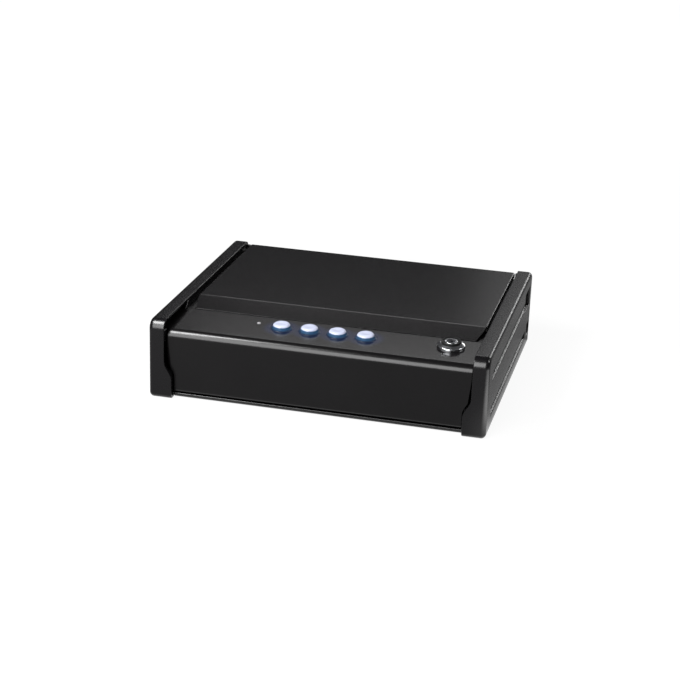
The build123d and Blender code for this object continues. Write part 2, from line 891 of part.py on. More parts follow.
def make_latch_bar():
    bar_end = lock_x + 4
    bar = block(-striker_x - latch_end, bar_end, latch_y, latch_back_y, latch_low, latch_high)
    for x in (-striker_x, striker_x):
        tip = x - striker_thickness / 2 - hook_gap
        neck = tip - hook_reach
        bar += block(neck - 7.5, neck + joined, latch_y, latch_back_y, latch_high - 1, hook_high)
        bar += block(neck, tip, latch_y, latch_back_y, hook_low, hook_high)
    pin_x = lock_x - cam_reach
    arm_front = cam_y + cam_reach - 6
    arm_high = arm_low + arm_thickness
    bar += block(pin_x - arm_half, pin_x + arm_half, arm_front, latch_y + joined, arm_low, arm_high)
    slot_half = cam_pin_radius + pin_slot_gap
    slot_front = cam_y + cam_reach - cam_pin_radius - 2 * pin_slot_gap
    slot_back = cam_y + cam_radius + cam_pin_radius + 2 * pin_slot_gap
    bar -= block(
        pin_x - slot_half, pin_x + slot_half, slot_front, slot_back, arm_low - past, arm_high + past
    )
    tab = block(tab_x - 1, tab_x + 1, coil_y - tab_half, latch_y + joined, coil_z - tab_half, latch_low + 4)
    tab -= round_bar((tab_x - 2, coil_y, coil_z), (tab_x + 2, coil_y, coil_z), plunger_neck + 0.1)
    return bar + tab


def make_guides():
    guides = []
    outer = guide_wall + guide_gap
    for x in guide_x:
        x0 = x - guide_half
        x1 = x + guide_half
        guide = block(x0, x1, latch_y - outer, bulkhead_front, latch_low - outer, latch_high + outer)
        guide -= block(
            x0 - past, x1 + past, latch_y - guide_gap, latch_back_y + guide_gap,
            latch_low - guide_gap, latch_high + guide_gap,
        )
        guide -= block(x0 - past, x1 + past, latch_y - outer - past, latch_y, latch_low + 3, latch_high - 3)
        guides.append(guide)
    return guides


def make_solenoid_frame():
    left = coil_x - coil_length / 2
    plate_top = coil_z + coil_radius + 1.5
    half = coil_radius
    frame = block(
        left - solenoid_plate, coil_right + solenoid_plate, coil_y - solenoid_foot, coil_y + half,
        floor_top, floor_top + solenoid_plate,
    )
    for x in (left - solenoid_plate, coil_right):
        frame += block(x, x + solenoid_plate, coil_y - half, coil_y + half, floor_top, plate_top)
    bore_end = (coil_right + solenoid_plate + past, coil_y, coil_z)
    frame -= round_bar((coil_right - past, coil_y, coil_z), bore_end, plunger_radius + plunger_clearance)
    for x in solenoid_screw_x:
        frame -= Pos(x, solenoid_screw_y, 0) * disc(screw_hole, 0, floor_top + solenoid_plate + past)
    return frame


def make_coil():
    left = coil_x - coil_length / 2
    coil = round_bar((left, coil_y, coil_z), (coil_right, coil_y, coil_z), coil_radius)
    bore_end = (coil_right + past, coil_y, coil_z)
    bore = round_bar((left + coil_wall, coil_y, coil_z), bore_end, plunger_radius + plunger_clearance)
    return coil - bore


def make_plunger():
    inner_end = coil_x - coil_length / 2 + coil_wall + 2
    face = tab_x - 1
    plunger = round_bar((inner_end, coil_y, coil_z), (face, coil_y, coil_z), plunger_radius)
    return plunger + round_bar((face - 1, coil_y, coil_z), (tab_x + 3.5, coil_y, coil_z), plunger_neck)


def make_clip():
    clip = round_bar((tab_x + 1.1, coil_y, coil_z), (tab_x + 2.1, coil_y, coil_z), 4.2)
    return clip - round_bar((tab_x, coil_y, coil_z), (tab_x + 3, coil_y, coil_z), plunger_neck + 0.05)


def make_spring():
    # Return spring, drawn as the sleeve that its turns fill
    start = (coil_right + solenoid_plate + 0.1, coil_y, coil_z)
    end = (tab_x - 1.1, coil_y, coil_z)
    return round_bar(start, end, spring_radius) - round_bar(start, end, plunger_radius + spring_clearance)


def knuckle(index):
    x0 = -hinge_half + knuckle_pitch * index + knuckle_gap / 2
    x1 = x0 + knuckle_pitch - knuckle_gap
    return x0, x1


def make_leaf(on_lid):
    if on_lid:
        y0 = back - sheet - leaf
        z0 = hinge_z + knuckle_radius + leaf_clearance
        z1 = lid_top - sheet - leaf_top_gap
    else:
        y0 = tray_back
        z0 = hinge_z - leaf_drop
        z1 = hinge_z - knuckle_radius - leaf_clearance
    y1 = y0 + leaf
    plate = block(-hinge_half, hinge_half, y0, y1, z0, z1)
    for index in range(1 if on_lid else 0, knuckle_count, 2):
        x0, x1 = knuckle(index)
        plate += block(x0, x1, y0, y1, hinge_z, z0 + joined if on_lid else z1 - joined)
        plate += round_bar((x0, hinge_y, hinge_z), (x1, hinge_y, hinge_z), knuckle_radius)
    bore = pin_radius + pin_clearance
    bore_end = hinge_half + past
    plate -= round_bar((-bore_end, hinge_y, hinge_z), (bore_end, hinge_y, hinge_z), bore)
    rivets = lid_rivet_x if on_lid else body_rivet_x
    rivet_z = lid_rivet_z if on_lid else body_rivet_z
    for x in rivets:
        plate -= rivet_bore(x, y0, y1, rivet_z)
    return plate


def make_pin():
    end = hinge_half + pin_end
    pin = round_bar((-end, hinge_y, hinge_z), (end, hinge_y, hinge_z), pin_radius)
    for side in (-1, 1):
        start = (side * (hinge_half + knuckle_gap), hinge_y, hinge_z)
        pin += round_bar(start, (side * end, hinge_y, hinge_z), knuckle_radius - 0.4)
    return pin


def make_body_rivets():
    rivets = []
    for x in body_rivet_x:
        inner = tray_back - sheet
        outer = tray_back + leaf
        ends = ((x, inner - rivet_head_height, body_rivet_z), (x, outer + rivet_head_height, body_rivet_z))
        rivet = round_bar(*ends, rivet_radius)
        rivet += round_bar(ends[0], (x, inner, body_rivet_z), rivet_head)
        rivet += round_bar((x, outer, body_rivet_z), ends[1], rivet_head)
        rivets.append(rivet)
    return rivets


def make_lid_rivets():
    rivets = []
    for x in lid_rivet_x:
        seat = back - sheet - leaf
        start = (x, seat - rivet_head_height, lid_rivet_z)
        shank = round_bar(start, (x, back - rivet_clearance, lid_rivet_z), rivet_radius)
        rivets.append(shank + round_bar(start, (x, seat, lid_rivet_z), rivet_head))
    return rivets


def make_bumpers():
    pads = []
    for side in (-1, 1):
        for y in (slope_back_y + bumper_front, back - bumper_back):
            low = side_flange_top
            high = lid_top - lid_side_flange - soft_gap
            x0 = side * (lid_half - 2.2)
            x1 = side * (lid_half + 0.8)
            pads.append(block(x0, x1, y - bumper_half, y + bumper_half, low, high))
    return pads


def make_rings():
    rings = []
    for x in key_x:
        ring = disc(ring_outer + ring_flange, 0, ring_height)
        ring = fillet(ring.faces().sort_by(Axis.Z)[-1].edges(), 0.4)
        ring += disc(ring_outer, -ring_depth, 0.2)
        ring -= disc(ring_bore, -ring_depth - past, ring_height + past)
        rings.append(on_panel(x, key_y) * ring)
    return rings


def make_key(x):
    flange_top = -ring_depth - 0.3
    body = disc(key_radius, flange_top - joined, key_height)
    body = fillet(body.faces().sort_by(Axis.Z)[-1].edges(), key_crown_round)
    body += disc(ring_outer, flange_top - key_flange, flange_top)
    body += disc(key_stem_radius, -board_depth + switch_height + key_travel + 0.1, flange_top)
    return on_panel(x, key_y) * body


def board_plane():
    return on_panel(0, key_y)


def make_board():
    board = block(
        board_left, board_right, board_front, board_back, -board_depth - board_thickness, -board_depth
    )
    for x, y in post_spots:
        hole = disc(post_bore + 0.2, -board_depth - board_thickness - past, -board_depth + past)
        board -= Pos(x, y, 0) * hole
    return board_plane() * board


def make_posts():
    posts = []
    for x, y in post_spots:
        post = disc(post_radius, -board_depth, -sheet)
        post -= disc(post_bore, -board_depth - past, -board_depth + 6)
        posts.append(board_plane() * Pos(x, y, 0) * post)
    return posts


def make_board_screws():
    screws = []
    low = -board_depth - board_thickness
    for x, y in post_spots:
        fixing = screw((x, y, low), (0, 0, 1), board_thickness + 5, post_bore - 0.1, 2.7, 1.5)
        screws.append(board_plane() * fixing)
    return screws


def make_switches():
    switches = []
    for x in key_x:
        x0 = x - switch_half
        x1 = x + switch_half
        high = -board_depth + switch_height
        body = block(x0, x1, -switch_half, switch_half, -board_depth, high - 0.6)
        body += Pos(x, 0, 0) * disc(switch_button, -board_depth, high)
        switches.append(board_plane() * body)
    return switches


def make_leds():
    leds = []
    for x in key_x:
        for side in (-1, 1):
            middle = x + side * led_offset
            half_x, half_y = led_half
            high = led_height - board_depth
            led = block(middle - half_x, middle + half_x, -half_y, half_y, -board_depth, high)
            leds.append(board_plane() * led)
    return leds


def make_light_pipe():
    pipe = disc(light_radius, -board_depth + 0.05, light_rise)
    pipe = fillet(pipe.faces().sort_by(Axis.Z)[-1].edges(), 0.4)
    return on_panel(light_x, light_y) * pipe


def make_chips():
    low = -board_depth - board_thickness
    chips = []
    for x, y, length, depth, height in chip_sizes:
        x0 = x - length / 2
        y0 = y - depth / 2
        chips.append(board_plane() * block(x0, x0 + length, y0, y0 + depth, low - height, low))
    return chips


def make_buzzer():
    low = -board_depth - board_thickness
    can = disc(buzzer_radius, low - buzzer_height, low)
    can -= disc(1, low - buzzer_height - past, low - buzzer_height + past)
    return board_plane() * Pos(buzzer_x, 0, 0) * can


def make_sockets():
    low = -board_depth - board_thickness
    sockets = []
    for x in socket_x:
        half_x, half_y = socket_half
        socket = block(x - half_x, x + half_x, -half_y, half_y, low - socket_height, low)
        sockets.append(board_plane() * socket)
    return sockets


def make_barrel():
    barrel = disc(skirt_radius, 0, skirt_height)
    barrel = fillet(barrel.faces().sort_by(Axis.Z)[-1].edges(), skirt_round)
    barrel += disc(collar_radius, skirt_height - joined, collar_height)
    barrel += disc(barrel_radius, -barrel_depth, joined)
    barrel -= disc(collar_radius - collar_wall, skirt_height + 0.6, collar_height + past)
    barrel += disc(plug_radius + plug_clearance + plug_wall, skirt_height, collar_height - 0.4)
    barrel -= disc(plug_radius + plug_clearance, -barrel_depth - past, collar_height + past)
    return on_panel(lock_x, lock_y) * barrel


def make_nut():
    nut = Pos(0, 0, -sheet - nut_height - 0.1) * extrude(RegularPolygon(nut_radius, 6), nut_height)
    nut -= disc(barrel_radius + 0.05, -barrel_depth, 0)
    return on_panel(lock_x, lock_y) * nut


def make_plug():
    plug = disc(plug_radius, -barrel_depth - 0.7, collar_height - 0.2)
    plug = fillet(plug.faces().sort_by(Axis.Z)[-1].edges(), 0.5)
    plug += disc(cam_hub, -cam_depth - cam_thickness, -barrel_depth)
    plug -= Pos(0, 0, collar_height) * Box(*key_slot)
    plug -= disc(cam_screw_radius + 0.05, -cam_depth - cam_thickness - past, -cam_depth + 4)
    return on_panel(lock_x, lock_y) * plug


def make_cam():
    # The lever's pin stands halfway between back and left when the latch is open
    lever = disc(plug_radius, -cam_depth - cam_thickness, -cam_depth)
    eye = Pos(-cam_reach, cam_reach, 0)
    lever += eye * disc(2 * cam_pin_radius, -cam_depth - cam_thickness, -cam_depth)
    pin_low = -(panel_z(lock_y) - arm_low) + 0.3
    lever += eye * disc(cam_pin_radius, pin_low, -cam_depth)
    lever -= disc(cam_hub + 0.05, -cam_depth - cam_thickness - past, -cam_depth + past)
    return on_panel(lock_x, lock_y) * lever


def make_cam_screw():
    low = -cam_depth - cam_thickness
    fixing = screw((0, 0, low - 0.05), (0, 0, 1), 5.5, cam_screw_radius, 3.0, 1.3)
    return on_panel(lock_x, lock_y) * fixing


def make_program_switch():
    half = program_body_half
    body = block(
        program_x - half, program_x + half, bulkhead_front - 8, bulkhead_front,
        program_z - half, program_z + half,
    )
    cavity_start = (program_x, bulkhead_front - 1.5 - program_travel - 1.5, program_z)
    cavity_end = (program_x, bulkhead_front + past, program_z)
    cavity = round_bar(cavity_start, cavity_end, program_rim + 0.4)
    return body - cavity


def make_program_key():
    shaft = round_bar(
        (program_x, bulkhead_front - 1.5, program_z), (program_x, bulkhead_back + 1.5, program_z),
        program_radius,
    )
    flange = round_bar(
        (program_x, bulkhead_front - 1.5, program_z), (program_x, bulkhead_front - 0.3, program_z),
        program_rim,
    )
    return shaft + flange


def make_lead(points, radius=1.2):
    # Straight runs joined by arcs as large as their two runs allow
    spots = [Vector(*point) for point in points]
    radii = []
    for before, corner, after in zip(spots, spots[1:], spots[2:]):
        turn = (corner - before).get_angle(after - corner)
        run = min((corner - before).length, (after - corner).length)
        radii.append(0.45 * run / math.tan(math.radians(turn) / 2))
    print("lead arc radii", [round(value, 1) for value in radii])
    route = FilletPolyline(*spots, radius=radii)
    start = Plane(origin=spots[0], z_dir=spots[1] - spots[0])
    tube = sweep(start * Circle(radius), path=route)
    section = math.pi * radius**2
    print("lead volume against section times length", round(tube.volume / (section * route.length), 4))
    return tube


def socket_mouth(x, below=0.0):
    # A point under the middle of a socket, square below its mouth
    low = -board_depth - board_thickness - socket_height - 0.1
    spot = board_plane().from_local_coords(Vector(x, 0, low - below))
    return spot.X, spot.Y, spot.Z


def make_battery_lead():
    start_x = holder_x - holder_inner_half + 4
    start_y = holder_front + 8
    points = [
        (start_x, start_y, holder_high),
        (start_x, start_y, holder_high + 6),
        socket_mouth(socket_x[1], 6),
        socket_mouth(socket_x[1]),
    ]
    return make_lead(points)


def make_solenoid_lead():
    points = [
        (coil_x, coil_y, coil_z + coil_radius + 0.1),
        (coil_x, coil_y, coil_z + coil_radius + 9),
        socket_mouth(socket_x[0], 8),
        socket_mouth(socket_x[0]),
    ]
    return make_lead(points)


def make_program_lead():
    points = [
        (program_x, bulkhead_front - 8, program_z),
        (program_x, bulkhead_front - 22, program_z),
        (program_x - 18, bulkhead_front - 36, program_z + 9),
        socket_mouth(socket_x[2], 12),
        socket_mouth(socket_x[2]),
    ]
    return make_lead(points)


def make_fixings():
    cap_set = []
    for side in (-1, 1):
        for y in cap_screw_y:
            seat = (side * tray_inner_half, y, cap_screw_z)
            cap_set.append(screw(seat, (side, 0, 0), 12, cap_screw_radius, 3.2, 1.6))
    save("cap_screws", *cap_set)
    back_set = []
    for x in back_screw_x:
        seat = (x, panel_back_y - sheet, back_screw_z)
        back_set.append(screw(seat, (0, 1, 0), 6))
    save("panel_screws", *back_set)
    face_set = []
    for x in face_screw_x:
        seat = (x, face_screw_y, fascia_bottom + sheet)
        face_set.append(screw(seat, (0, 0, -1), 4, face_screw_radius))
    save("face_screws", *face_set)
    floor_set = []
    for x in bulkhead_screw_x:
        seat = (x, bulkhead_screw_y, floor_top + sheet)
        floor_set.append(screw(seat, (0, 0, -1), 2.8))
    save("bulkhead_screws", *floor_set)
    coil_set = []
    for x in solenoid_screw_x:
        seat = (x, solenoid_screw_y, floor_top + solenoid_plate)
        coil_set.append(screw(seat, (0, 0, -1), 3.3))
    save("solenoid_screws", *coil_set)


right_cap = make_cap()
save("right_end_cap", right_cap)
save("left_end_cap", mirrored(right_cap))
save("foot_pads", *make_feet())
save("base_tray", make_tray())
save("front_fascia", make_fascia())
save("bulkhead", make_bulkhead())
save("lid_panel", make_lid())
save("lid_strikers", *make_strikers())
save("latch_bar", make_latch_bar())
save("latch_guides", *make_guides())
save("solenoid_frame", make_solenoid_frame())
save("solenoid_coil", make_coil())
save("solenoid_plunger", make_plunger())
save("plunger_clip", make_clip())
save("latch_spring", make_spring())
save("body_hinge_leaf", make_leaf(False))
save("lid_hinge_leaf", make_leaf(True))
save("hinge_pin", make_pin())
save("body_rivets", *make_body_rivets())
save("lid_rivets", *make_lid_rivets())
save("lid_bumpers", *make_bumpers())
save("light_rings", *make_rings())
for number, x in enumerate(key_x, start=1):
    save(f"key_{number}", make_key(x))
save("status_light", make_light_pipe())
save("circuit_board", make_board())
save("board_posts", *make_posts())
save("board_screws", *make_board_screws())
save("key_switches", *make_switches())
save("key_leds", *make_leds())
save("control_chips", *make_chips())
save("buzzer", make_buzzer())
save("lead_sockets", *make_sockets())
save("lock_barrel", make_barrel())
save("lock_nut", make_nut())
save("lock_plug", make_plug())
save("lock_cam", make_cam())
save("cam_screw", make_cam_screw())
save("battery_holder", make_holder())
save("battery_cells", *make_cells())
save("battery_contacts", *make_contacts())
save("battery_cover", make_cover())
save("program_switch", make_program_switch())
save("program_key", make_program_key())
save("battery_lead", make_battery_lead())
save("solenoid_lead", make_solenoid_lead())
save("program_lead", make_program_lead())
floor_low = floor_top + soft_gap
liner_half = tray_inner_half - liner_gap
liner_front = bulkhead_back + liner_gap
liner_back = tray_back - sheet - liner_gap
save("floor_liner", make_liner(liner_half, liner_front, liner_back, floor_low, floor_low + floor_pad))
lid_low = lid_top - sheet - soft_gap - lid_pad
liner_half = lid_half - lid_liner_inset
liner_front = slope_back_y + lid_liner_front
liner_back = back - lid_liner_back
save("lid_liner", make_liner(liner_half, liner_front, liner_back, lid_low, lid_low + lid_pad))
make_fixings()
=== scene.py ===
# Looks of the compact electronic safe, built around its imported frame
import bpy
import bmesh
import json
import math
from mathutils import Matrix, Vector, noise

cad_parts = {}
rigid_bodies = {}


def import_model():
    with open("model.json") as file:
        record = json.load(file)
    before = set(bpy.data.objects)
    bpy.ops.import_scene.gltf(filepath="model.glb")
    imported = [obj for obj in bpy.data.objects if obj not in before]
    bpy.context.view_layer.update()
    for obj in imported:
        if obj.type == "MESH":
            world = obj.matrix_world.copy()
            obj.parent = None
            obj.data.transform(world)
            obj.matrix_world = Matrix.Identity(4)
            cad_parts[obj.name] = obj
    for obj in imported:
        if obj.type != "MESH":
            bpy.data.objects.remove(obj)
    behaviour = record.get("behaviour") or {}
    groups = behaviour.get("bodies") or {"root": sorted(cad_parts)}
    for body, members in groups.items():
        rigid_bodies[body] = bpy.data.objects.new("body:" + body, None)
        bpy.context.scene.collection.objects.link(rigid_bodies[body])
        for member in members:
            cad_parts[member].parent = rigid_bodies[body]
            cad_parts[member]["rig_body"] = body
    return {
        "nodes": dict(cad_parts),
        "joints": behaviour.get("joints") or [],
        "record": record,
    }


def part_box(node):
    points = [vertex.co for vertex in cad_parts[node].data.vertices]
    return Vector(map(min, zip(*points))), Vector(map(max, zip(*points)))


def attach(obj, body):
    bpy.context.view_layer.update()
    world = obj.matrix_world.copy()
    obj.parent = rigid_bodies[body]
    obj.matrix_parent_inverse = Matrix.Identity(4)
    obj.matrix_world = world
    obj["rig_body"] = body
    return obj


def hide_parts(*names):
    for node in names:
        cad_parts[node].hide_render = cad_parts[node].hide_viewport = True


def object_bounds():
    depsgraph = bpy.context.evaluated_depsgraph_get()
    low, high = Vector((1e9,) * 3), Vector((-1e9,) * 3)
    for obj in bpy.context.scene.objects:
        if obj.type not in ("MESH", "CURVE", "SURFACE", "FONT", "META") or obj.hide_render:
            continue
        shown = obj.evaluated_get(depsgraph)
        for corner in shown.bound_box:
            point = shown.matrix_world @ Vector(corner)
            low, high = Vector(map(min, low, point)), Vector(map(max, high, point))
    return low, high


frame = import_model()
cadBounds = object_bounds()
nodes = frame["nodes"]
joints = {joint["name"]: joint for joint in frame["joints"]}
slotOf = {part["node"]: part["material_slot"] for part in frame["record"]["subparts"]}
mm = 0.001


def linear(hexColour):
    # sRGB hex to the linear colour that a shader takes
    shares = [int(hexColour[i:i + 2], 16) / 255 for i in (1, 3, 5)]
    return [s / 12.92 if s <= 0.04045 else ((s + 0.055) / 1.055) ** 2.4 for s in shares] + [1.0]


def addNode(tree, kind, inputs=None, **settings):
    # Inputs go by name, or by number where two sockets share a name; a socket given as a value is linked
    node = tree.nodes.new(kind)
    for name, value in settings.items():
        setattr(node, name, value)
    for key, value in (inputs or {}).items():
        if isinstance(value, bpy.types.NodeSocket):
            tree.links.new(value, node.inputs[key])
        else:
            node.inputs[key].default_value = value
    return node


def placeMesh(name, bm):
    # Makes an object of a finished bmesh and puts it in the scene
    mesh = bpy.data.meshes.new(name)
    bm.to_mesh(mesh)
    bm.free()
    piece = bpy.data.objects.new(name, mesh)
    bpy.context.scene.collection.objects.link(piece)
    return piece


def directionTo(azimuth, elevation):
    # Azimuth 0 is in front of the safe, 90 degrees at its right; both angles are in radians here
    across = math.cos(elevation)
    return Vector((math.sin(azimuth) * across, -math.cos(azimuth) * across, math.sin(elevation)))


# Camera: metres, degrees and millimetres of lens

cameraSetup = {
    "place": (0.3209, -1.3666, 0.5552),
    "azimuth": 13.541,
    "elevation": 20.645,
    "roll": 1.984,
    "lens": 89.3,
    "sensor": 36,
    "clip": (0.05, 200),
}


def makeCamera(setup):
    azimuth = math.radians(setup["azimuth"])
    roll = math.radians(setup["roll"])
    back = directionTo(azimuth, math.radians(setup["elevation"]))
    right = Vector((math.cos(azimuth), math.sin(azimuth), 0))
    up = back.cross(right)
    axes = Matrix((
        math.cos(roll) * right + math.sin(roll) * up,
        math.cos(roll) * up - math.sin(roll) * right,
        back,
    )).transposed()
    lens = bpy.data.cameras.new("studio_camera")
    lens.lens = setup["lens"]
    lens.sensor_width = setup["sensor"]
    lens.clip_start, lens.clip_end = setup["clip"]
    camera = bpy.data.objects.new("studio_camera", lens)
    bpy.context.scene.collection.objects.link(camera)
    camera.matrix_world = Matrix.Translation(setup["place"]) @ axes.to_4x4()
    bpy.context.scene.camera = camera


makeCamera(cameraSetup)
print("camera placed")


# Studio: pale floor, soft boxes round the safe, plain air. Lengths are in metres

studio = {
    "aim": (0.0, 0.0, 0.035),
    "airColour": "#8c8c8e",
    "airStrength": 0.2,
    "floorColour": "#606060",
    "floorLift": (0.92, 1.0),
    "liftFrom": (0.35, 1.2),
    "mirroredLift": 0.2,
    # In mirrors only: painted light in a rim at the safe's edge and in a pool at its right front corner
    "paintedRimLift": 1.0,
    "paintedRimReach": (1.0, 1.05),
    "paintedPoolCentre": (0.235, -0.15, 0.0),
    "paintedPoolReach": (0.02, 0.12),
    "paintedPoolLift": 4.0,
    "floorSize": 60.0,
}

# Radiance 1 shows as white in a mirror; the last two boxes stand behind and show in the panel and the lid
softBoxes = {
    "front_box": {"azimuth": -13, "elevation": 28, "away": 1.5, "size": (0.85, 1.15), "radiance": 7.5},
    "top_box": {"azimuth": -45, "elevation": 50, "away": 0.72, "size": (0.18, 0.26), "radiance": 30.0},
    "right_box": {"azimuth": 98, "elevation": 36, "away": 1.4, "size": (0.28, 0.28), "radiance": 14.0},
    "side_strip": {"azimuth": 118, "elevation": 30, "away": 1.6, "size": (1.0, 0.3), "radiance": 0.8},
    "edge_strip": {"azimuth": 159, "elevation": 14, "away": 2.0, "size": (0.6, 0.25), "radiance": 5.0},
    "panel_box": {"azimuth": 190, "elevation": 34, "away": 2.0, "size": (0.9, 0.28), "radiance": 2.2},
    "lid_box": {"azimuth": 176, "elevation": 22, "away": 2.0, "size": (0.6, 0.35), "radiance": 0.55},
}


def makeSoftBox(name, box):
    towards = directionTo(math.radians(box["azimuth"]), math.radians(box["elevation"]))
    lamp = bpy.data.lights.new(name, "AREA")
    lamp.shape = "RECTANGLE"
    lamp.size, lamp.size_y = box["size"]
    lamp.energy = box["radiance"] * math.pi * lamp.size * lamp.size_y
    holder = bpy.data.objects.new(name, lamp)
    bpy.context.scene.collection.objects.link(holder)
    holder.matrix_world = Matrix.Translation(Vector(studio["aim"]) + towards * box["away"])
    holder.matrix_world @= towards.to_track_quat("Z", "Y").to_matrix().to_4x4()
    holder.visible_camera = False


def makeAir():
    air = bpy.data.worlds.new("studio_air")
    air.use_nodes = True
    tree = air.node_tree
    tree.nodes.clear()
    glow = addNode(tree, "ShaderNodeBackground",
                   {"Color": linear(studio["airColour"]), "Strength": studio["airStrength"]})
    addNode(tree, "ShaderNodeOutputWorld", {"Surface": glow.outputs[0]})
    bpy.context.scene.world = air


def makeFloor():
    # White paper sweep: white to the camera, dim in mirrors but for a painted bright rim and pool of light
    # near the safe, and it still takes a faint shadow
    paper = bpy.data.materials.new("paper_sweep")
    paper.use_nodes = True
    tree = paper.node_tree
    tree.nodes.clear()
    ray = addNode(tree, "ShaderNodeLightPath")
    mirrored = addNode(tree, "ShaderNodeMath",
                       {0: ray.outputs["Is Glossy Ray"], 1: ray.outputs["Is Transmission Ray"]},
                       operation="MAXIMUM")
    place = addNode(tree, "ShaderNodeTexCoord").outputs["Object"]
    distance = addNode(tree, "ShaderNodeVectorMath", {0: place}, operation="LENGTH").outputs["Value"]
    white = addNode(tree, "ShaderNodeMapRange",
                    {"Value": distance, "From Min": studio["liftFrom"][0], "From Max": studio["liftFrom"][1],
                     "To Min": studio["floorLift"][0], "To Max": studio["floorLift"][1]})
    # In a mirror it shows a painted bright rim at the safe's edge and a painted pool of light at the right
    # front corner.
    # The safe's own outline is share 1 of its half width and half depth
    spot = addNode(tree, "ShaderNodeSeparateXYZ", {0: place})
    sides = [addNode(tree, "ShaderNodeMath", {0: spot.outputs[axis]}, operation="ABSOLUTE").outputs[0]
             for axis in "XY"]
    shares = [addNode(tree, "ShaderNodeMath", {0: side, 1: half}, operation="DIVIDE").outputs[0]
              for side, half in zip(sides, cadBounds[1])]
    outside = addNode(tree, "ShaderNodeMath", {0: shares[0], 1: shares[1]}, operation="MAXIMUM")
    foot = addNode(tree, "ShaderNodeMapRange",
                   {"Value": outside.outputs[0],
                    "From Min": studio["paintedRimReach"][0], "From Max": studio["paintedRimReach"][1],
                    "To Min": studio["paintedRimLift"], "To Max": studio["mirroredLift"]})
    fromPaintedPool = addNode(tree, "ShaderNodeVectorMath", {0: place, 1: studio["paintedPoolCentre"]},
                       operation="DISTANCE")
    paintedPool = addNode(tree, "ShaderNodeMapRange",
                   {"Value": fromPaintedPool.outputs["Value"],
                    "From Min": studio["paintedPoolReach"][0], "From Max": studio["paintedPoolReach"][1],
                    "To Min": studio["paintedPoolLift"], "To Max": 0.0},
                   interpolation_type="SMOOTHSTEP")
    mirrorLiftAndPaintedLight = addNode(tree, "ShaderNodeMath", {0: foot.outputs[0], 1: paintedPool.outputs[0]}, operation="ADD")
    inMirror = addNode(tree, "ShaderNodeMath", {0: mirrored.outputs[0], 1: mirrorLiftAndPaintedLight.outputs[0]},
                       operation="MULTIPLY")
    lift = addNode(tree, "ShaderNodeMath",
                   {0: ray.outputs["Is Camera Ray"], 1: white.outputs[0], 2: inMirror.outputs[0]},
                   operation="MULTIPLY_ADD")
    matt = addNode(tree, "ShaderNodeBsdfDiffuse", {"Color": linear(studio["floorColour"])})
    glow = addNode(tree, "ShaderNodeEmission", {"Strength": lift.outputs[0]})
    both = addNode(tree, "ShaderNodeAddShader", {0: matt.outputs[0], 1: glow.outputs[0]})
    addNode(tree, "ShaderNodeOutputMaterial", {"Surface": both.outputs[0]})
    bm = bmesh.new()
    bmesh.ops.create_grid(bm, x_segments=1, y_segments=1, size=studio["floorSize"] / 2)
    floor = placeMesh("floor", bm)
    floor.data.materials.append(paper)


for boxName, boxSetup in softBoxes.items():
    makeSoftBox(boxName, boxSetup)
makeAir()
makeFloor()
bpy.context.scene.view_settings.view_transform = "Standard"
print("studio lit")


# Finishes. A pattern's size is in millimetres on the real thing, and perSize turns it into a texture scale

noiseSpan = {"From Min": 0.3, "From Max": 0.7}  # most of a noise texture's values lie between these


def perSize(sizeInMm):
    return 1 / (sizeInMm * mm)


def newFinish(name, colour, roughness, metallic=0.0, **fixed):
    material = bpy.data.materials.new(name)
    material.use_nodes = True
    tree = material.node_tree
    tree.nodes.clear()
    inputs = {"Base Color": linear(colour), "Roughness": roughness, "Metallic": metallic}
    inputs.update({key.replace("_", " "): value for key, value in fixed.items()})
    shader = addNode(tree, "ShaderNodeBsdfPrincipled", inputs)
    addNode(tree, "ShaderNodeOutputMaterial", {"Surface": shader.outputs["BSDF"]})
    place = addNode(tree, "ShaderNodeTexCoord").outputs["Object"]
    return material, tree, shader, place


def wire(tree, shader, sockets):
    # Links what a finish has worked out to the shader's own sockets
    for name, source in sockets.items():
        tree.links.new(source, shader.inputs[name])


def powderCoat(name):
    # Black polyester powder baked on steel: a dark satin with a faint orange peel that softens reflections
    look = {"dark": "#0c0b0c", "light": "#121112", "satin": (0.2, 0.26),
            "cloud": 38.0, "peel": 1.4, "grit": 0.32, "peelHeight": 0.0012, "gritHeight": 0.0007}
    material, tree, shader, place = newFinish(
        name, look["dark"], look["satin"][1], IOR=1.5, Specular_IOR_Level=0.4)
    cloud, peel, grit = [
        addNode(tree, "ShaderNodeTexNoise", {"Vector": place, "Scale": perSize(look[size]), "Detail": detail})
        for size, detail in (("cloud", 3.0), ("peel", 1.0), ("grit", 2.0))
    ]
    tone = addNode(tree, "ShaderNodeMix",
                   {0: cloud.outputs["Fac"], 6: linear(look["dark"]), 7: linear(look["light"])},
                   data_type="RGBA")
    satin = addNode(tree, "ShaderNodeMapRange",
                    {"Value": peel.outputs["Fac"], **noiseSpan,
                     "To Min": look["satin"][0], "To Max": look["satin"][1]})
    wave = addNode(tree, "ShaderNodeBump",
                   {"Height": peel.outputs["Fac"], "Distance": look["peelHeight"] * mm, "Strength": 1.0})
    grain = addNode(tree, "ShaderNodeBump",
                    {"Height": grit.outputs["Fac"], "Distance": look["gritHeight"] * mm, "Strength": 1.0,
                     "Normal": wave.outputs[0]})
    wire(tree, shader, {"Base Color": tone.outputs[2], "Roughness": satin.outputs[0],
                        "Normal": grain.outputs[0]})
    return material


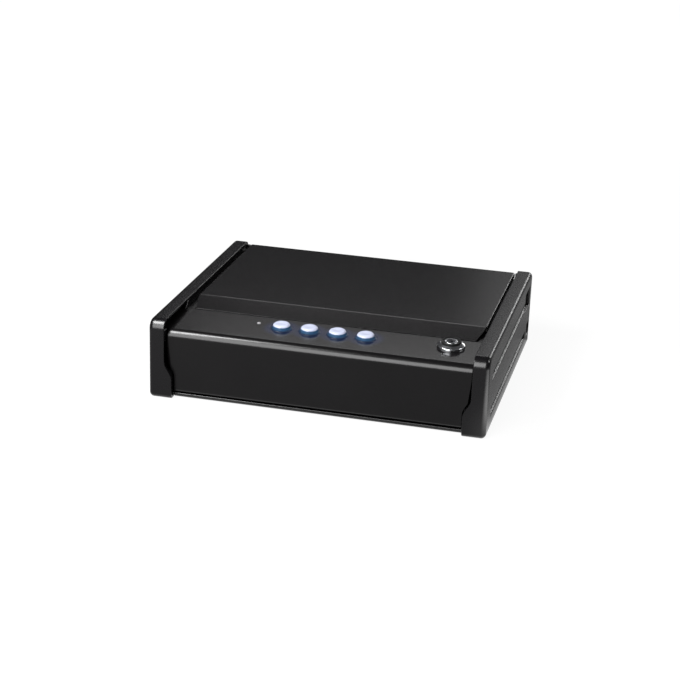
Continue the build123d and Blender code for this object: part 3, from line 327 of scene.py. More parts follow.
def mouldedAbs():
    # ABS from a spark-eroded tool: even matt grain that shows as fine sparkle where light rakes over it.
    # The real grain of about 0.1 mm is drawn coarser, so that it shows
    look = {"dark": "#0a090b", "light": "#100f11", "matt": (0.22, 0.29),
            "cloud": 22.0, "pit": 0.8, "fleck": 1.3, "pitHeight": 0.012, "fleckHeight": 0.009}
    material, tree, shader, place = newFinish(
        "abs_spark_grain", look["dark"], look["matt"][1], IOR=1.54, Specular_IOR_Level=0.42)
    cloud = addNode(tree, "ShaderNodeTexNoise",
                    {"Vector": place, "Scale": perSize(look["cloud"]), "Detail": 2.0})
    tone = addNode(tree, "ShaderNodeMix",
                   {0: cloud.outputs["Fac"], 6: linear(look["dark"]), 7: linear(look["light"])},
                   data_type="RGBA")
    pits = addNode(tree, "ShaderNodeTexVoronoi", {"Vector": place, "Scale": perSize(look["pit"])})
    flecks = addNode(tree, "ShaderNodeTexNoise",
                     {"Vector": place, "Scale": perSize(look["fleck"]), "Detail": 3.0, "Roughness": 0.7})
    matt = addNode(tree, "ShaderNodeMapRange",
                   {"Value": flecks.outputs["Fac"], **noiseSpan,
                    "To Min": look["matt"][0], "To Max": look["matt"][1]})
    dents = addNode(tree, "ShaderNodeBump",
                    {"Height": pits.outputs["Distance"], "Distance": look["pitHeight"] * mm, "Strength": 1.0})
    grain = addNode(tree, "ShaderNodeBump",
                    {"Height": flecks.outputs["Fac"], "Distance": look["fleckHeight"] * mm, "Strength": 1.0,
                     "Normal": dents.outputs[0]})
    wire(tree, shader, {"Base Color": tone.outputs[2], "Roughness": matt.outputs[0],
                        "Normal": grain.outputs[0]})
    return material


def plainMoulding(name, dark, light, rough, spread=0.1, grain=0.6, height=0.006, cloud=15.0, **fixed):
    # Moulded resin or rubber: two close tones in soft clouds, and a tool grain drawn coarse enough to show
    material, tree, shader, place = newFinish(name, dark, rough, **fixed)
    clouds = addNode(tree, "ShaderNodeTexNoise", {"Vector": place, "Scale": perSize(cloud), "Detail": 2.0})
    tone = addNode(tree, "ShaderNodeMix",
                   {0: clouds.outputs["Fac"], 6: linear(dark), 7: linear(light)}, data_type="RGBA")
    speck = addNode(tree, "ShaderNodeTexNoise", {"Vector": place, "Scale": perSize(grain), "Detail": 2.0})
    matt = addNode(tree, "ShaderNodeMapRange",
                   {"Value": speck.outputs["Fac"], **noiseSpan,
                    "To Min": rough * (1 - spread), "To Max": min(1.0, rough * (1 + spread))})
    bump = addNode(tree, "ShaderNodeBump",
                   {"Height": speck.outputs["Fac"], "Distance": height * mm, "Strength": 1.0})
    wire(tree, shader, {"Base Color": tone.outputs[2], "Roughness": matt.outputs[0],
                        "Normal": bump.outputs[0]})
    return material


def platedMetal(name, dark, light, rough, spread=0.2, blotch=4.0, lines=0.25, stretch=(1, 1, 12),
                height=0.0015):
    # Plated or turned metal: spangle in the tone, and tool lines, coarser than real, that drag the highlight
    material, tree, shader, place = newFinish(name, light, rough, metallic=1.0)
    spangle = addNode(tree, "ShaderNodeTexVoronoi", {"Vector": place, "Scale": perSize(blotch)})
    tone = addNode(tree, "ShaderNodeMix",
                   {0: spangle.outputs["Distance"], 6: linear(light), 7: linear(dark)}, data_type="RGBA")
    drawn = addNode(tree, "ShaderNodeMapping", {"Vector": place, "Scale": stretch})
    brush = addNode(tree, "ShaderNodeTexNoise",
                    {"Vector": drawn.outputs[0], "Scale": perSize(lines) / max(stretch), "Detail": 3.0})
    matt = addNode(tree, "ShaderNodeMapRange",
                   {"Value": brush.outputs["Fac"], **noiseSpan,
                    "To Min": rough * (1 - spread), "To Max": rough * (1 + spread)})
    bump = addNode(tree, "ShaderNodeBump",
                   {"Height": brush.outputs["Fac"], "Distance": height * mm, "Strength": 1.0})
    wire(tree, shader, {"Base Color": tone.outputs[2], "Roughness": matt.outputs[0],
                        "Normal": bump.outputs[0]})
    return material


panelPoint = Vector(joints["lock_turn"]["pos_m"])
panelNormal = Vector(joints["lock_turn"]["axis"]).normalized()
panelLean = math.atan2(-panelNormal.y, panelNormal.z)


def panelHeight(tree, place):
    # Height above the sloped keypad panel, in metres
    laid = addNode(tree, "ShaderNodeMapping",
                   {"Vector": place, "Location": panelPoint, "Rotation": (panelLean, 0, 0)},
                   vector_type="TEXTURE")
    return addNode(tree, "ShaderNodeSeparateXYZ", {0: laid.outputs[0]}).outputs["Z"]


def litSilicone():
    # Translucent silicone over blue lamps: milky white cap, blue light held in the skirt
    look = {"cap": "#b6b9d4", "milk": "#c0c8da", "skirt": "#26405a", "blue": "#2f4e6c", "glow": "#33587c",
            "from": 2.7, "to": 3.3, "glowStrength": 0.3, "rough": 0.34, "mottle": 5.0,
            "grain": 0.4, "grainHeight": 0.004}
    material, tree, shader, place = newFinish(
        "silicone_milky", look["cap"], look["rough"], IOR=1.41, Coat_Weight=0.3, Coat_Roughness=0.15)
    share = addNode(tree, "ShaderNodeMapRange",
                    {"Value": panelHeight(tree, place),
                     "From Min": look["from"] * mm, "From Max": look["to"] * mm},
                    interpolation_type="SMOOTHSTEP")
    mottle = addNode(tree, "ShaderNodeTexNoise",
                     {"Vector": place, "Scale": perSize(look["mottle"]), "Detail": 2.0})
    blue, milk = [
        addNode(tree, "ShaderNodeMix",
                {0: mottle.outputs["Fac"], 6: linear(look[first]), 7: linear(look[second])}, data_type="RGBA")
        for first, second in (("skirt", "blue"), ("cap", "milk"))
    ]
    tone = addNode(tree, "ShaderNodeMix",
                   {0: share.outputs[0], 6: blue.outputs[2], 7: milk.outputs[2]}, data_type="RGBA")
    shine = addNode(tree, "ShaderNodeMapRange",
                    {"Value": share.outputs[0], "To Min": look["glowStrength"], "To Max": 0.0})
    speck = addNode(tree, "ShaderNodeTexNoise",
                    {"Vector": place, "Scale": perSize(look["grain"]), "Detail": 2.0})
    bump = addNode(tree, "ShaderNodeBump",
                   {"Height": speck.outputs["Fac"], "Distance": look["grainHeight"] * mm, "Strength": 1.0})
    shader.inputs["Emission Color"].default_value = linear(look["glow"])
    wire(tree, shader, {"Base Color": tone.outputs[2], "Emission Strength": shine.outputs[0],
                        "Normal": bump.outputs[0]})
    return material


def litRing():
    # Clear blue polycarbonate bezel, lit through: deep blue that fades to its rim
    look = {"inner": "#2a4664", "outer": "#0c1222", "rough": 0.3, "glow": "#1c3454",
            "from": 0.2, "to": 0.9, "haze": 3.0, "glowStrength": (0.18, 0.3)}
    material, tree, shader, place = newFinish(
        "polycarbonate_blue", look["inner"], look["rough"], IOR=1.58, Coat_Weight=0.4, Coat_Roughness=0.06)
    share = addNode(tree, "ShaderNodeMapRange",
                    {"Value": panelHeight(tree, place),
                     "From Min": look["from"] * mm, "From Max": look["to"] * mm})
    haze = addNode(tree, "ShaderNodeTexNoise",
                   {"Vector": place, "Scale": perSize(look["haze"]), "Detail": 2.0})
    mixed = addNode(tree, "ShaderNodeMath", {0: share.outputs[0], 1: haze.outputs["Fac"]},
                    operation="MULTIPLY")
    tone = addNode(tree, "ShaderNodeMix",
                   {0: mixed.outputs[0], 6: linear(look["outer"]), 7: linear(look["inner"])},
                   data_type="RGBA")
    shine = addNode(tree, "ShaderNodeMapRange",
                    {"Value": haze.outputs["Fac"], "From Min": 0.2, "From Max": 0.8,
                     "To Min": look["glowStrength"][0], "To Max": look["glowStrength"][1]})
    shader.inputs["Emission Color"].default_value = linear(look["glow"])
    wire(tree, shader, {"Base Color": tone.outputs[2], "Emission Strength": shine.outputs[0]})
    return material


def nickelChrome():
    # Bright nickel-chrome plate: a near mirror, with polishing haze
    look = {"bright": "#dfe0e3", "grey": "#c8cace", "rough": (0.18, 0.28),
            "haze": 2.5, "lines": 0.5, "lineHeight": 0.0012}
    material, tree, shader, place = newFinish(
        "nickel_chrome", look["bright"], look["rough"][0], metallic=1.0)
    haze = addNode(tree, "ShaderNodeTexNoise",
                   {"Vector": place, "Scale": perSize(look["haze"]), "Detail": 4.0})
    tone = addNode(tree, "ShaderNodeMix",
                   {0: haze.outputs["Fac"], 6: linear(look["bright"]), 7: linear(look["grey"])},
                   data_type="RGBA")
    matt = addNode(tree, "ShaderNodeMapRange",
                   {"Value": haze.outputs["Fac"], **noiseSpan,
                    "To Min": look["rough"][0], "To Max": look["rough"][1]})
    fine = addNode(tree, "ShaderNodeTexNoise",
                   {"Vector": place, "Scale": perSize(look["lines"]), "Detail": 2.0})
    bump = addNode(tree, "ShaderNodeBump",
                   {"Height": fine.outputs["Fac"], "Distance": look["lineHeight"] * mm, "Strength": 1.0})
    wire(tree, shader, {"Base Color": tone.outputs[2], "Roughness": matt.outputs[0],
                        "Normal": bump.outputs[0]})
    return material


def solderResist():
    # Glass-epoxy board under green solder resist: copper runs show as a lighter green
    look = {"mask": "#0e3a1f", "shade": "#114426", "run": "#1f6338", "pad": "#a9a79c", "rough": 0.28,
            "runPitch": 6.4, "runHeight": 0.02, "padPitch": 2.54, "padShare": 0.16}
    material, tree, shader, place = newFinish(
        "solder_resist_green", look["mask"], look["rough"], Coat_Weight=0.3)
    bricks = addNode(tree, "ShaderNodeTexBrick",
                     {"Vector": place, "Color1": linear(look["mask"]), "Color2": linear(look["shade"]),
                      "Mortar": linear(look["run"]), "Scale": perSize(look["runPitch"]),
                      "Mortar Size": 0.03, "Brick Width": 0.9, "Row Height": 0.35}, offset=0.37, squash=1.6)
    dots = addNode(tree, "ShaderNodeTexVoronoi",
                   {"Vector": place, "Scale": perSize(look["padPitch"]), "Randomness": 0.0})
    isPad = addNode(tree, "ShaderNodeMath", {0: dots.outputs["Distance"], 1: look["padShare"]},
                    operation="LESS_THAN")
    tone = addNode(tree, "ShaderNodeMix",
                   {0: isPad.outputs[0], 6: bricks.outputs["Color"], 7: linear(look["pad"])},
                   data_type="RGBA")
    bump = addNode(tree, "ShaderNodeBump",
                   {"Height": bricks.outputs["Fac"], "Distance": look["runHeight"] * mm, "Strength": 1.0})
    wire(tree, shader, {"Base Color": tone.outputs[2], "Normal": bump.outputs[0]})
    return material


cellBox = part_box("battery_cells")
cellMiddle = (cellBox[0] + cellBox[1]) / 2


def shrinkFilm():
    # Plain cell jacket: glossy dark film, with a copper band and bright steel ends
    look = {"film": "#17191d", "band": "#9a6a35", "steel": "#b9bcc0", "bandFrom": 33.0, "steelFrom": 47.8,
            "gloss": (0.18, 0.34), "scuff": 3.0}
    material, tree, shader, place = newFinish(
        "cell_film", look["film"], look["gloss"][0], Coat_Weight=0.4, Coat_Roughness=0.1)
    across = addNode(tree, "ShaderNodeSeparateXYZ", {0: place}).outputs["X"]
    offset = addNode(tree, "ShaderNodeMath", {0: across, 1: cellMiddle.x}, operation="SUBTRACT")
    distance = addNode(tree, "ShaderNodeMath", {0: offset.outputs[0]}, operation="ABSOLUTE")
    isBand, isSteel = [
        addNode(tree, "ShaderNodeMath", {0: distance.outputs[0], 1: look[start] * mm},
                operation="GREATER_THAN").outputs[0]
        for start in ("bandFrom", "steelFrom")
    ]
    scuff = addNode(tree, "ShaderNodeTexNoise",
                    {"Vector": place, "Scale": perSize(look["scuff"]), "Detail": 3.0})
    film = addNode(tree, "ShaderNodeMix",
                   {0: isBand, 6: linear(look["film"]), 7: linear(look["band"])}, data_type="RGBA")
    tone = addNode(tree, "ShaderNodeMix",
                   {0: isSteel, 6: film.outputs[2], 7: linear(look["steel"])}, data_type="RGBA")
    matt = addNode(tree, "ShaderNodeMapRange",
                   {"Value": scuff.outputs["Fac"], "To Min": look["gloss"][0], "To Max": look["gloss"][1]})
    wire(tree, shader, {"Base Color": tone.outputs[2], "Metallic": isSteel, "Roughness": matt.outputs[0]})
    return material


def polyesterTape():
    # Amber polyester tape over copper windings: the turns print through it as fine ribs
    look = {"amber": "#a9781e", "shade": "#7c5312", "rib": 1.2, "ribHeight": 0.05, "rough": 0.3}
    material, tree, shader, place = newFinish(
        "polyester_tape", look["amber"], look["rough"], Coat_Weight=0.5)
    # At scale 1 the wave repeats every tau / 20
    ribs = addNode(tree, "ShaderNodeTexWave",
                   {"Vector": place, "Scale": perSize(look["rib"]) * math.tau / 20, "Distortion": 0.3},
                   bands_direction="X")
    tone = addNode(tree, "ShaderNodeMix",
                   {0: ribs.outputs["Fac"], 6: linear(look["shade"]), 7: linear(look["amber"])},
                   data_type="RGBA")
    bump = addNode(tree, "ShaderNodeBump",
                   {"Height": ribs.outputs["Fac"], "Distance": look["ribHeight"] * mm, "Strength": 1.0})
    wire(tree, shader, {"Base Color": tone.outputs[2], "Normal": bump.outputs[0]})
    return material


def openCellFoam():
    # Polyurethane foam: charcoal, no shine, its cut cells a pitted surface, a little coarser than real, with
    # painted shade in the pits
    look = {"dark": "#101011", "light": "#2a2a2c", "rough": 0.95,
            "cell": 0.7, "cellHeight": 0.25, "clump": 6.0, "pitDepthAndShade": (0.05, 0.4)}
    material, tree, shader, place = newFinish(
        "foam_charcoal", look["light"], look["rough"], Sheen_Weight=0.25, Sheen_Roughness=0.5)
    cells = addNode(tree, "ShaderNodeTexVoronoi", {"Vector": place, "Scale": perSize(look["cell"])})
    clump = addNode(tree, "ShaderNodeTexNoise",
                    {"Vector": place, "Scale": perSize(look["clump"]), "Detail": 4.0})
    deep = addNode(tree, "ShaderNodeMath", {0: cells.outputs["Distance"], 1: clump.outputs["Fac"]},
                   operation="MULTIPLY")
    share = addNode(tree, "ShaderNodeMapRange",
                    {"Value": deep.outputs[0], "From Min": look["pitDepthAndShade"][0], "From Max": look["pitDepthAndShade"][1]})
    # Painted shade: the deeper the pit, the darker its colour
    tone = addNode(tree, "ShaderNodeMix",
                   {0: share.outputs[0], 6: linear(look["light"]), 7: linear(look["dark"])},
                   data_type="RGBA")
    bump = addNode(tree, "ShaderNodeBump",
                   {"Height": share.outputs[0], "Distance": look["cellHeight"] * mm, "Strength": 0.8},
                   invert=True)
    wire(tree, shader, {"Base Color": tone.outputs[2], "Normal": bump.outputs[0]})
    return material


def powderCoatWithPaintedGlow(keyLine):
    # The keypad's own powder coat, with a painted glow of the keys' blue light round each of them
    look = {"paintedSpill": "#1b2c5c", "from": 8.6, "to": 19.0, "strength": 0.35}
    material = powderCoat("powder_coat_keypad")
    tree = material.node_tree
    shader = next(node for node in tree.nodes if node.type == "BSDF_PRINCIPLED")
    place = addNode(tree, "ShaderNodeTexCoord").outputs["Object"]
    spot = addNode(tree, "ShaderNodeSeparateXYZ", {0: place})
    # Distance to the nearest key along the row, and then in the plane
    pitch = (keyLine[-1][0] - keyLine[0][0]) / (len(keyLine) - 1)
    along = addNode(tree, "ShaderNodeMath", {0: spot.outputs["X"], 1: keyLine[0][0]}, operation="SUBTRACT")
    steps = addNode(tree, "ShaderNodeMath", {0: along.outputs[0], 1: pitch}, operation="DIVIDE")
    whole = addNode(tree, "ShaderNodeMath", {0: steps.outputs[0]}, operation="ROUND")
    nearest = addNode(tree, "ShaderNodeClamp", {"Value": whole.outputs[0], "Max": len(keyLine) - 1.0})
    share = addNode(tree, "ShaderNodeMath", {0: steps.outputs[0], 1: nearest.outputs[0]},
                    operation="SUBTRACT")
    across = addNode(tree, "ShaderNodeMath", {0: share.outputs[0], 1: pitch}, operation="MULTIPLY")
    deep = addNode(tree, "ShaderNodeMath", {0: spot.outputs["Y"], 1: keyLine[0][1]}, operation="SUBTRACT")
    away = addNode(tree, "ShaderNodeCombineXYZ", {0: across.outputs[0], 1: deep.outputs[0]})
    distance = addNode(tree, "ShaderNodeVectorMath", {0: away.outputs[0]}, operation="LENGTH")
    paintedSpill = addNode(tree, "ShaderNodeMapRange",
                    {"Value": distance.outputs["Value"],
                     "From Min": look["from"] * mm, "From Max": look["to"] * mm,
                     "To Min": look["strength"], "To Max": 0.0}, interpolation_type="SMOOTHERSTEP")
    # Painted light: the panel glows blue round each key, as if lit by it
    shader.inputs["Emission Color"].default_value = linear(look["paintedSpill"])
    wire(tree, shader, {"Emission Strength": paintedSpill.outputs[0]})
    return material


# One finish for each of the record's slots
finishes = {
    "steel_powder": powderCoat("powder_coat_black"),
    "cap_plastic": mouldedAbs(),
    # Natural rubber compound: dull, slightly bloomed
    "rubber_black": plainMoulding("rubber_bloomed", "#121213", "#1d1d1f", 0.75, grain=0.5, height=0.01),
    # Bright zinc on steel screws: cool silver, soft shine
    "zinc_screw": platedMetal("zinc_bright", "#8f949b", "#c3c6cb", 0.28, blotch=1.2),
    # Black oxide on steel: dark, oily sheen
    "dark_screw": platedMetal("black_oxide", "#151516", "#232324", 0.38, blotch=1.5),
    # Zinc on sheet steel: rolling lines along the part
    "plated_steel": platedMetal("zinc_sheet", "#83878d", "#b5b8bc", 0.34, blotch=6.0, stretch=(1, 12, 12)),
    "chrome": nickelChrome(),
    # Turned brass: warm yellow with turning marks
    "brass": platedMetal("brass_turned", "#8d6a2c", "#c39b4e", 0.24, blotch=2.0, stretch=(1, 1, 16)),
    "key_silicone": litSilicone(),
    "ring_plastic": litRing(),
    # Acrylic light pipe, unlit: pale grey and glossy
    "light_lens": plainMoulding("acrylic_frosted", "#8f8d8f", "#aaa8aa", 0.22, grain=0.3, height=0.002,
                                IOR=1.49),
    "board_green": solderResist(),
    # Moulded epoxy: charcoal, fine matt
    "chip_black": plainMoulding("epoxy_charcoal", "#151516", "#202022", 0.55, grain=0.25),
    # Lamp moulding: creamy white resin
    "led_white": plainMoulding("resin_cream", "#d8d2b8", "#e9e4cf", 0.35, grain=0.3),
    # Nylon 66, natural: ivory with a soft shine
    "socket_white": plainMoulding("nylon_natural", "#cfc8b2", "#e0dac7", 0.42, grain=0.4),
    # ABS from a polished tool: black with a low shine
    "holder_plastic": plainMoulding("abs_satin", "#141415", "#1d1d1f", 0.4, grain=0.5, height=0.008),
    "cell_jacket": shrinkFilm(),
    # Soft PVC: saturated red, waxy
    "lead_red": plainMoulding("pvc_red", "#7d0f0d", "#97201a", 0.38, grain=0.8, height=0.004),
    "coil_tape": polyesterTape(),
    "foam_black": openCellFoam(),
    # Acetal: solid red with a waxy shine
    "program_red": plainMoulding("acetal_red", "#8f1713", "#a4241c", 0.33, grain=0.6, height=0.003),
}
# The floors of the caps' sunk grooves get painted shade: darker than the outside, and dull, with almost no
# reflection
paintedGrooveShade = plainMoulding("abs_etched", "#080808", "#0c0b0c", 0.8, grain=0.8, IOR=1.54,
                             Specular_IOR_Level=0.03)
# Glass-filled nylon for the collar round the key lock: black, dry and even
collarFinish = plainMoulding("nylon_black", "#070707", "#0c0c0d", 0.5, grain=0.4)
# Sintered steel shutter behind the keyhole: dark grey, dull
shutterFinish = platedMetal("sintered_steel", "#17181a", "#2b2c2f", 0.45, blotch=0.8)
keySpots = []
for keyNumber in range(1, 5):
    keyLow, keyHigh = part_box(f"key_{keyNumber}")
    keySpots.append(((keyLow.x + keyHigh.x) / 2, (keyLow.y + keyHigh.y) / 2))
keypadPaintedGlowFinish = powderCoatWithPaintedGlow(keySpots)
for node in nodes.values():
    node.data.materials.clear()
    node.data.materials.append(finishes[slotOf[node.name]])
print("finishes made")


# Modelling helpers. Outlines are (radius, height) points in mm, about a piece's own Z

def addShape(target, bm, place):
    # Adds a closed shape to a larger mesh, in its place
    bmesh.ops.remove_doubles(bm, verts=bm.verts, dist=1e-7)
    bmesh.ops.recalc_face_normals(bm, faces=bm.faces)
    bm.transform(place)
    spare = bpy.data.meshes.new("spare")
    bm.to_mesh(spare)
    bm.free()
    target.from_mesh(spare)
    bpy.data.meshes.remove(spare)


def spinSolid(target, outline, place, steps=72):
    # An outline that starts off the axis is closed into a ring
    bm = bmesh.new()
    spots = [bm.verts.new((radius * mm, 0, height * mm)) for radius, height in outline]
    isRing = outline[0][0] > 0
    ends = spots[1:] + spots[:1] if isRing else spots[1:]
    line = [bm.edges.new(pair) for pair in zip(spots, ends)]
    bmesh.ops.spin(bm, geom=spots + line, cent=(0, 0, 0), axis=(0, 0, 1), angle=math.tau, steps=steps,
                   use_merge=True)
    addShape(target, bm, place)


def arc(radius, height, size, start, end, count):
    # Points on a round corner, with its centre at (radius, height) and its angles in degrees
    angles = [math.radians(start + (end - start) * i / (count - 1)) for i in range(count)]
    return [(radius + size * math.cos(a), height + size * math.sin(a)) for a in angles]


def softenEdges(bm, width, segments=2, over=30):
    # Rounds every edge that turns by more than so many degrees
    sharp = [edge for edge in bm.edges if edge.is_manifold and edge.calc_face_angle(0) > math.radians(over)]
    bmesh.ops.bevel(bm, geom=sharp, offset=width * mm, offset_type="OFFSET", segments=segments, profile=0.5,
                    affect="EDGES", clamp_overlap=False, material=-1)


def applyModifiers(piece):
    # Keeps what the modifiers make of the mesh, and drops them
    bpy.context.view_layer.update()
    shape = bpy.data.meshes.new_from_object(piece.evaluated_get(bpy.context.evaluated_depsgraph_get()))
    piece.modifiers.clear()
    piece.data = shape


def finishPiece(name, bm, node, finish=None, replace=True):
    # Makes the object, gives it its finish and body, and hides the frame node that it stands for
    piece = placeMesh(name, bm)
    piece.data.shade_smooth()
    piece.data.materials.append(finish or finishes[slotOf[node]])
    shading = piece.modifiers.new("even_shading", "WEIGHTED_NORMAL")
    shading.weight = 90
    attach(piece, nodes[node]["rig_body"])
    if replace:
        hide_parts(node)
    return piece


def onPanel(x, y):
    # A place on the keypad panel, its own Z square to it
    z = panelPoint.z - (x - panelPoint.x) * panelNormal.x / panelNormal.z
    z -= (y - panelPoint.y) * panelNormal.y / panelNormal.z
    return Matrix.Translation((x, y, z)) @ Matrix.Rotation(panelLean, 4, "X")


# Bent sheets, mouldings and brackets keep their frame shape; every sharp edge gets its real small round

edgeRounds = {
    "front_fascia": ("fascia_sheet", 0.3),
    "lid_panel": ("lid_sheet", 0.12),
    "base_tray": ("tray_sheet", 0.5),
    "bulkhead": ("bulkhead_sheet", 0.3),
    "left_end_cap": ("left_cap_moulding", 0.6),
    "right_end_cap": ("right_cap_moulding", 0.6),
    "battery_cover": ("cover_moulding", 0.3),
    "battery_holder": ("holder_moulding", 0.2),
    "latch_bar": ("latch_bar_blank", 0.25),
    "latch_guides": ("latch_guide_pair", 0.15),
    "lid_strikers": ("striker_pair", 0.25),
    "body_hinge_leaf": ("body_leaf", 0.12),
    "lid_hinge_leaf": ("lid_leaf", 0.12),
    "lid_bumpers": ("bumper_set", 0.6),
    "solenoid_frame": ("solenoid_yoke", 0.25),
    "program_switch": ("program_switch_case", 0.3),
}


def refine(node, name, width, finish=None):
    # Clears the frame mesh's loose triangles away first, so that only its real edges are rounded
    bm = bmesh.new()
    bm.from_mesh(nodes[node].data)
    bmesh.ops.remove_doubles(bm, verts=bm.verts, dist=1e-6)
    bmesh.ops.dissolve_limit(bm, angle_limit=math.radians(0.5), verts=bm.verts, edges=bm.edges, delimit=set())
    softenEdges(bm, width)
    return finishPiece(name, bm, node, finish)


# A groove's floor lies this far inside the cap's outer face, in mm, and faces outwards at least this squarely
grooveShape = {"inset": (0.7, 3.2), "flat": 0.9}


def paintGrooveShade(piece, shape):
    # The groove floors take the painted shade finish
    piece.data.materials.append(paintedGrooveShade)
    nearest, deepest = shape["inset"]
    for face in piece.data.polygons:
        inset = cadBounds[1].x - abs(face.center.x)
        if nearest * mm < inset < deepest * mm and abs(face.normal.x) > shape["flat"]:
            face.material_index = 1


for nodeName, (pieceName, roundWidth) in edgeRounds.items():
    refined = refine(nodeName, pieceName, roundWidth, keypadPaintedGlowFinish if nodeName == "front_fascia" else None)
    if nodeName.endswith("end_cap"):
        paintGrooveShade(refined, grooveShape)
print("sheets and mouldings refined")


# Keys and their lit rings

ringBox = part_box("light_rings")
keyRow = (ringBox[0].y + ringBox[1].y) / 2
keyShape = {"radius": 7.4, "height": 4.6, "dish": 0.25, "dishRadius": 4.2, "dishSteps": 6, "crown": 2.4,
            "skirtFoot": 0.6, "flange": 8.2, "flangeTop": -3.3, "flangeLow": -4.6,
            "stem": 2.2, "stemLow": -5.9}


def keyOutline(shape):
    # A shallow finger dish, a rolled rim, the skirt, and the flange and stem under the panel
    steps = shape["dishSteps"]
    dish = [
        (shape["dishRadius"] * i / steps, shape["height"] - shape["dish"] * (1 - (i / steps) ** 2) ** 2)
        for i in range(steps + 1)
    ]
    rim = shape["radius"] - shape["crown"]
    crown = arc(rim, shape["height"] - shape["crown"], shape["crown"], 88, 0, 9)
    under = [
        (shape["radius"], shape["skirtFoot"]),
        (shape["radius"], shape["flangeTop"]),
        (shape["flange"], shape["flangeTop"]),
        (shape["flange"], shape["flangeLow"]),
        (shape["stem"], shape["flangeLow"]),
        (shape["stem"], shape["stemLow"]),
        (0, shape["stemLow"]),
    ]
    return dish + crown + under


ringShape = {"bore": 7.6, "sleeve": 8.2, "flange": 9.3, "height": 0.9, "lip": 0.2, "lipDrop": 0.1,
             "rim": 0.175, "depth": 3.0}


def ringOutline(shape):
    # A sleeve in the panel, and a flange that slopes out from a rounded lip to a thin rim
    return [
        (shape["bore"], -shape["depth"]),
        (shape["bore"], shape["height"] - shape["lip"]),
        (shape["bore"] + shape["lip"], shape["height"]),
        (shape["sleeve"], shape["height"] - shape["lipDrop"]),
        *arc(shape["flange"] - shape["rim"], shape["rim"], shape["rim"], 60, 0, 5),
        (shape["flange"], 0),
        (shape["sleeve"], 0),
        (shape["sleeve"], -shape["depth"]),
    ]


rings = bmesh.new()
for number in range(1, 5):
    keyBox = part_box(f"key_{number}")
    keyPlace = onPanel((keyBox[0].x + keyBox[1].x) / 2, keyRow)
    keyMesh = bmesh.new()
    spinSolid(keyMesh, keyOutline(keyShape), keyPlace)
    finishPiece(f"key_{number}_dome", keyMesh, f"key_{number}")
    spinSolid(rings, ringOutline(ringShape), keyPlace)
finishPiece("ring_set", rings, "light_rings")


# Status light: a frosted light pipe with a low dome

lightShape = {"radius": 1.6, "rise": 0.5, "domeRadius": 0.6, "domeDrop": 0.02, "round": 0.4, "depth": 10.9}


def makeLight(shape):
    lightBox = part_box("status_light")
    top = shape["rise"]
    outline = [
        (0, top),
        (shape["domeRadius"], top - shape["domeDrop"]),
        *arc(shape["radius"] - shape["round"], top - shape["round"], shape["round"], 85, 0, 6),
        (shape["radius"], -shape["depth"]),
        (0, -shape["depth"]),
    ]
    row = lightBox[0].y + shape["radius"] * mm + top * mm * math.sin(panelLean)
    light = bmesh.new()
    spinSolid(light, outline, onPanel((lightBox[0].x + lightBox[1].x) / 2, row), steps=32)
    finishPiece("status_lens", light, "status_light")


makeLight(lightShape)
print("keys and lights made")


# Key lock: chrome skirt, black collar, chrome plug with a dark shutter and its keyhole

lockPlace = onPanel(panelPoint.x, panelPoint.y)
lockShape = {
    "bore": 5.58,
    "barrel": 9.3,
    "barrelDepth": 16.5,
    "skirt": 11.8,
    "skirtHeight": 4.4,
    "skirtRound": 1.0,
    "skirtFoot": 0.3,
    "coneDrop": 1.4,
    "lip": ((0.2, 0.6), (0.3, 0.1), (0.5, 0.0), (0.7, 0.05)),  # outwards from the collar, and down
    "collar": 8.3,
    "collarHeight": 6.0,
    "collarSeat": 0.55,
    "collarRound": 0.5,
    "collarBevel": 0.7,
    "collarDip": (1.2, 0.45),  # inwards from its edge, and down
    "plug": 5.5,
    "plugHeight": 5.8,
    "plugRound": 0.5,
    "plugRing": 0.7,
    "funnel": (0.9, 0.06),  # inwards from the plug's edge, and down
    "plugLow": -17.2,
    "hub": 2.4,
    "hubLow": -19.5,
    "shutter": 2.6,
    "shutterHeight": 5.05,
    "shutterThick": 0.6,
    "shutterBevel": (0.15, 0.1),
    "shutterBed": 0.15,
    "play": 0.05,
    "keyhole": {"width": 7.0, "depth": 1.8, "low": 2.0, "high": 6.8},
}


def carve(piece, slot):
    # Cuts a straight slot into a piece on the lock's axis
    bm = bmesh.new()
    bmesh.ops.create_cube(bm, size=1)
    tall = slot["high"] - slot["low"]
    bmesh.ops.scale(bm, verts=bm.verts, vec=(slot["width"] * mm, slot["depth"] * mm, tall * mm))
    bmesh.ops.translate(bm, verts=bm.verts, vec=(0, 0, (slot["high"] + slot["low"]) / 2 * mm))
    bm.transform(lockPlace)
    cutter = placeMesh("cutter", bm)
    cut = piece.modifiers.new("keyhole", "BOOLEAN")
    cut.operation = "DIFFERENCE"
    cut.solver = "EXACT"
    cut.object = cutter
    piece.modifiers.move(len(piece.modifiers) - 1, 0)
    applyModifiers(piece)
    bpy.data.objects.remove(cutter)


def makeBarrel(shape):
    # The skirt slopes outwards from the collar's lip to its round edge
    top = shape["skirtHeight"]
    edge = shape["skirtRound"]
    outline = [
        (shape["bore"], -shape["barrelDepth"]),
        (shape["bore"], top - shape["lip"][0][1]),
        *[(shape["collar"] + out, top - drop) for out, drop in shape["lip"]],
        *arc(shape["skirt"] - edge, top - shape["coneDrop"] - edge, edge, 65, 0, 8),
        (shape["skirt"], shape["skirtFoot"]),
        (shape["skirt"] - shape["skirtFoot"], 0),
        (shape["barrel"], 0),
        (shape["barrel"], -shape["barrelDepth"]),
    ]
    barrel = bmesh.new()
    spinSolid(barrel, outline, lockPlace, steps=96)
    finishPiece("lock_skirt", barrel, "lock_barrel")


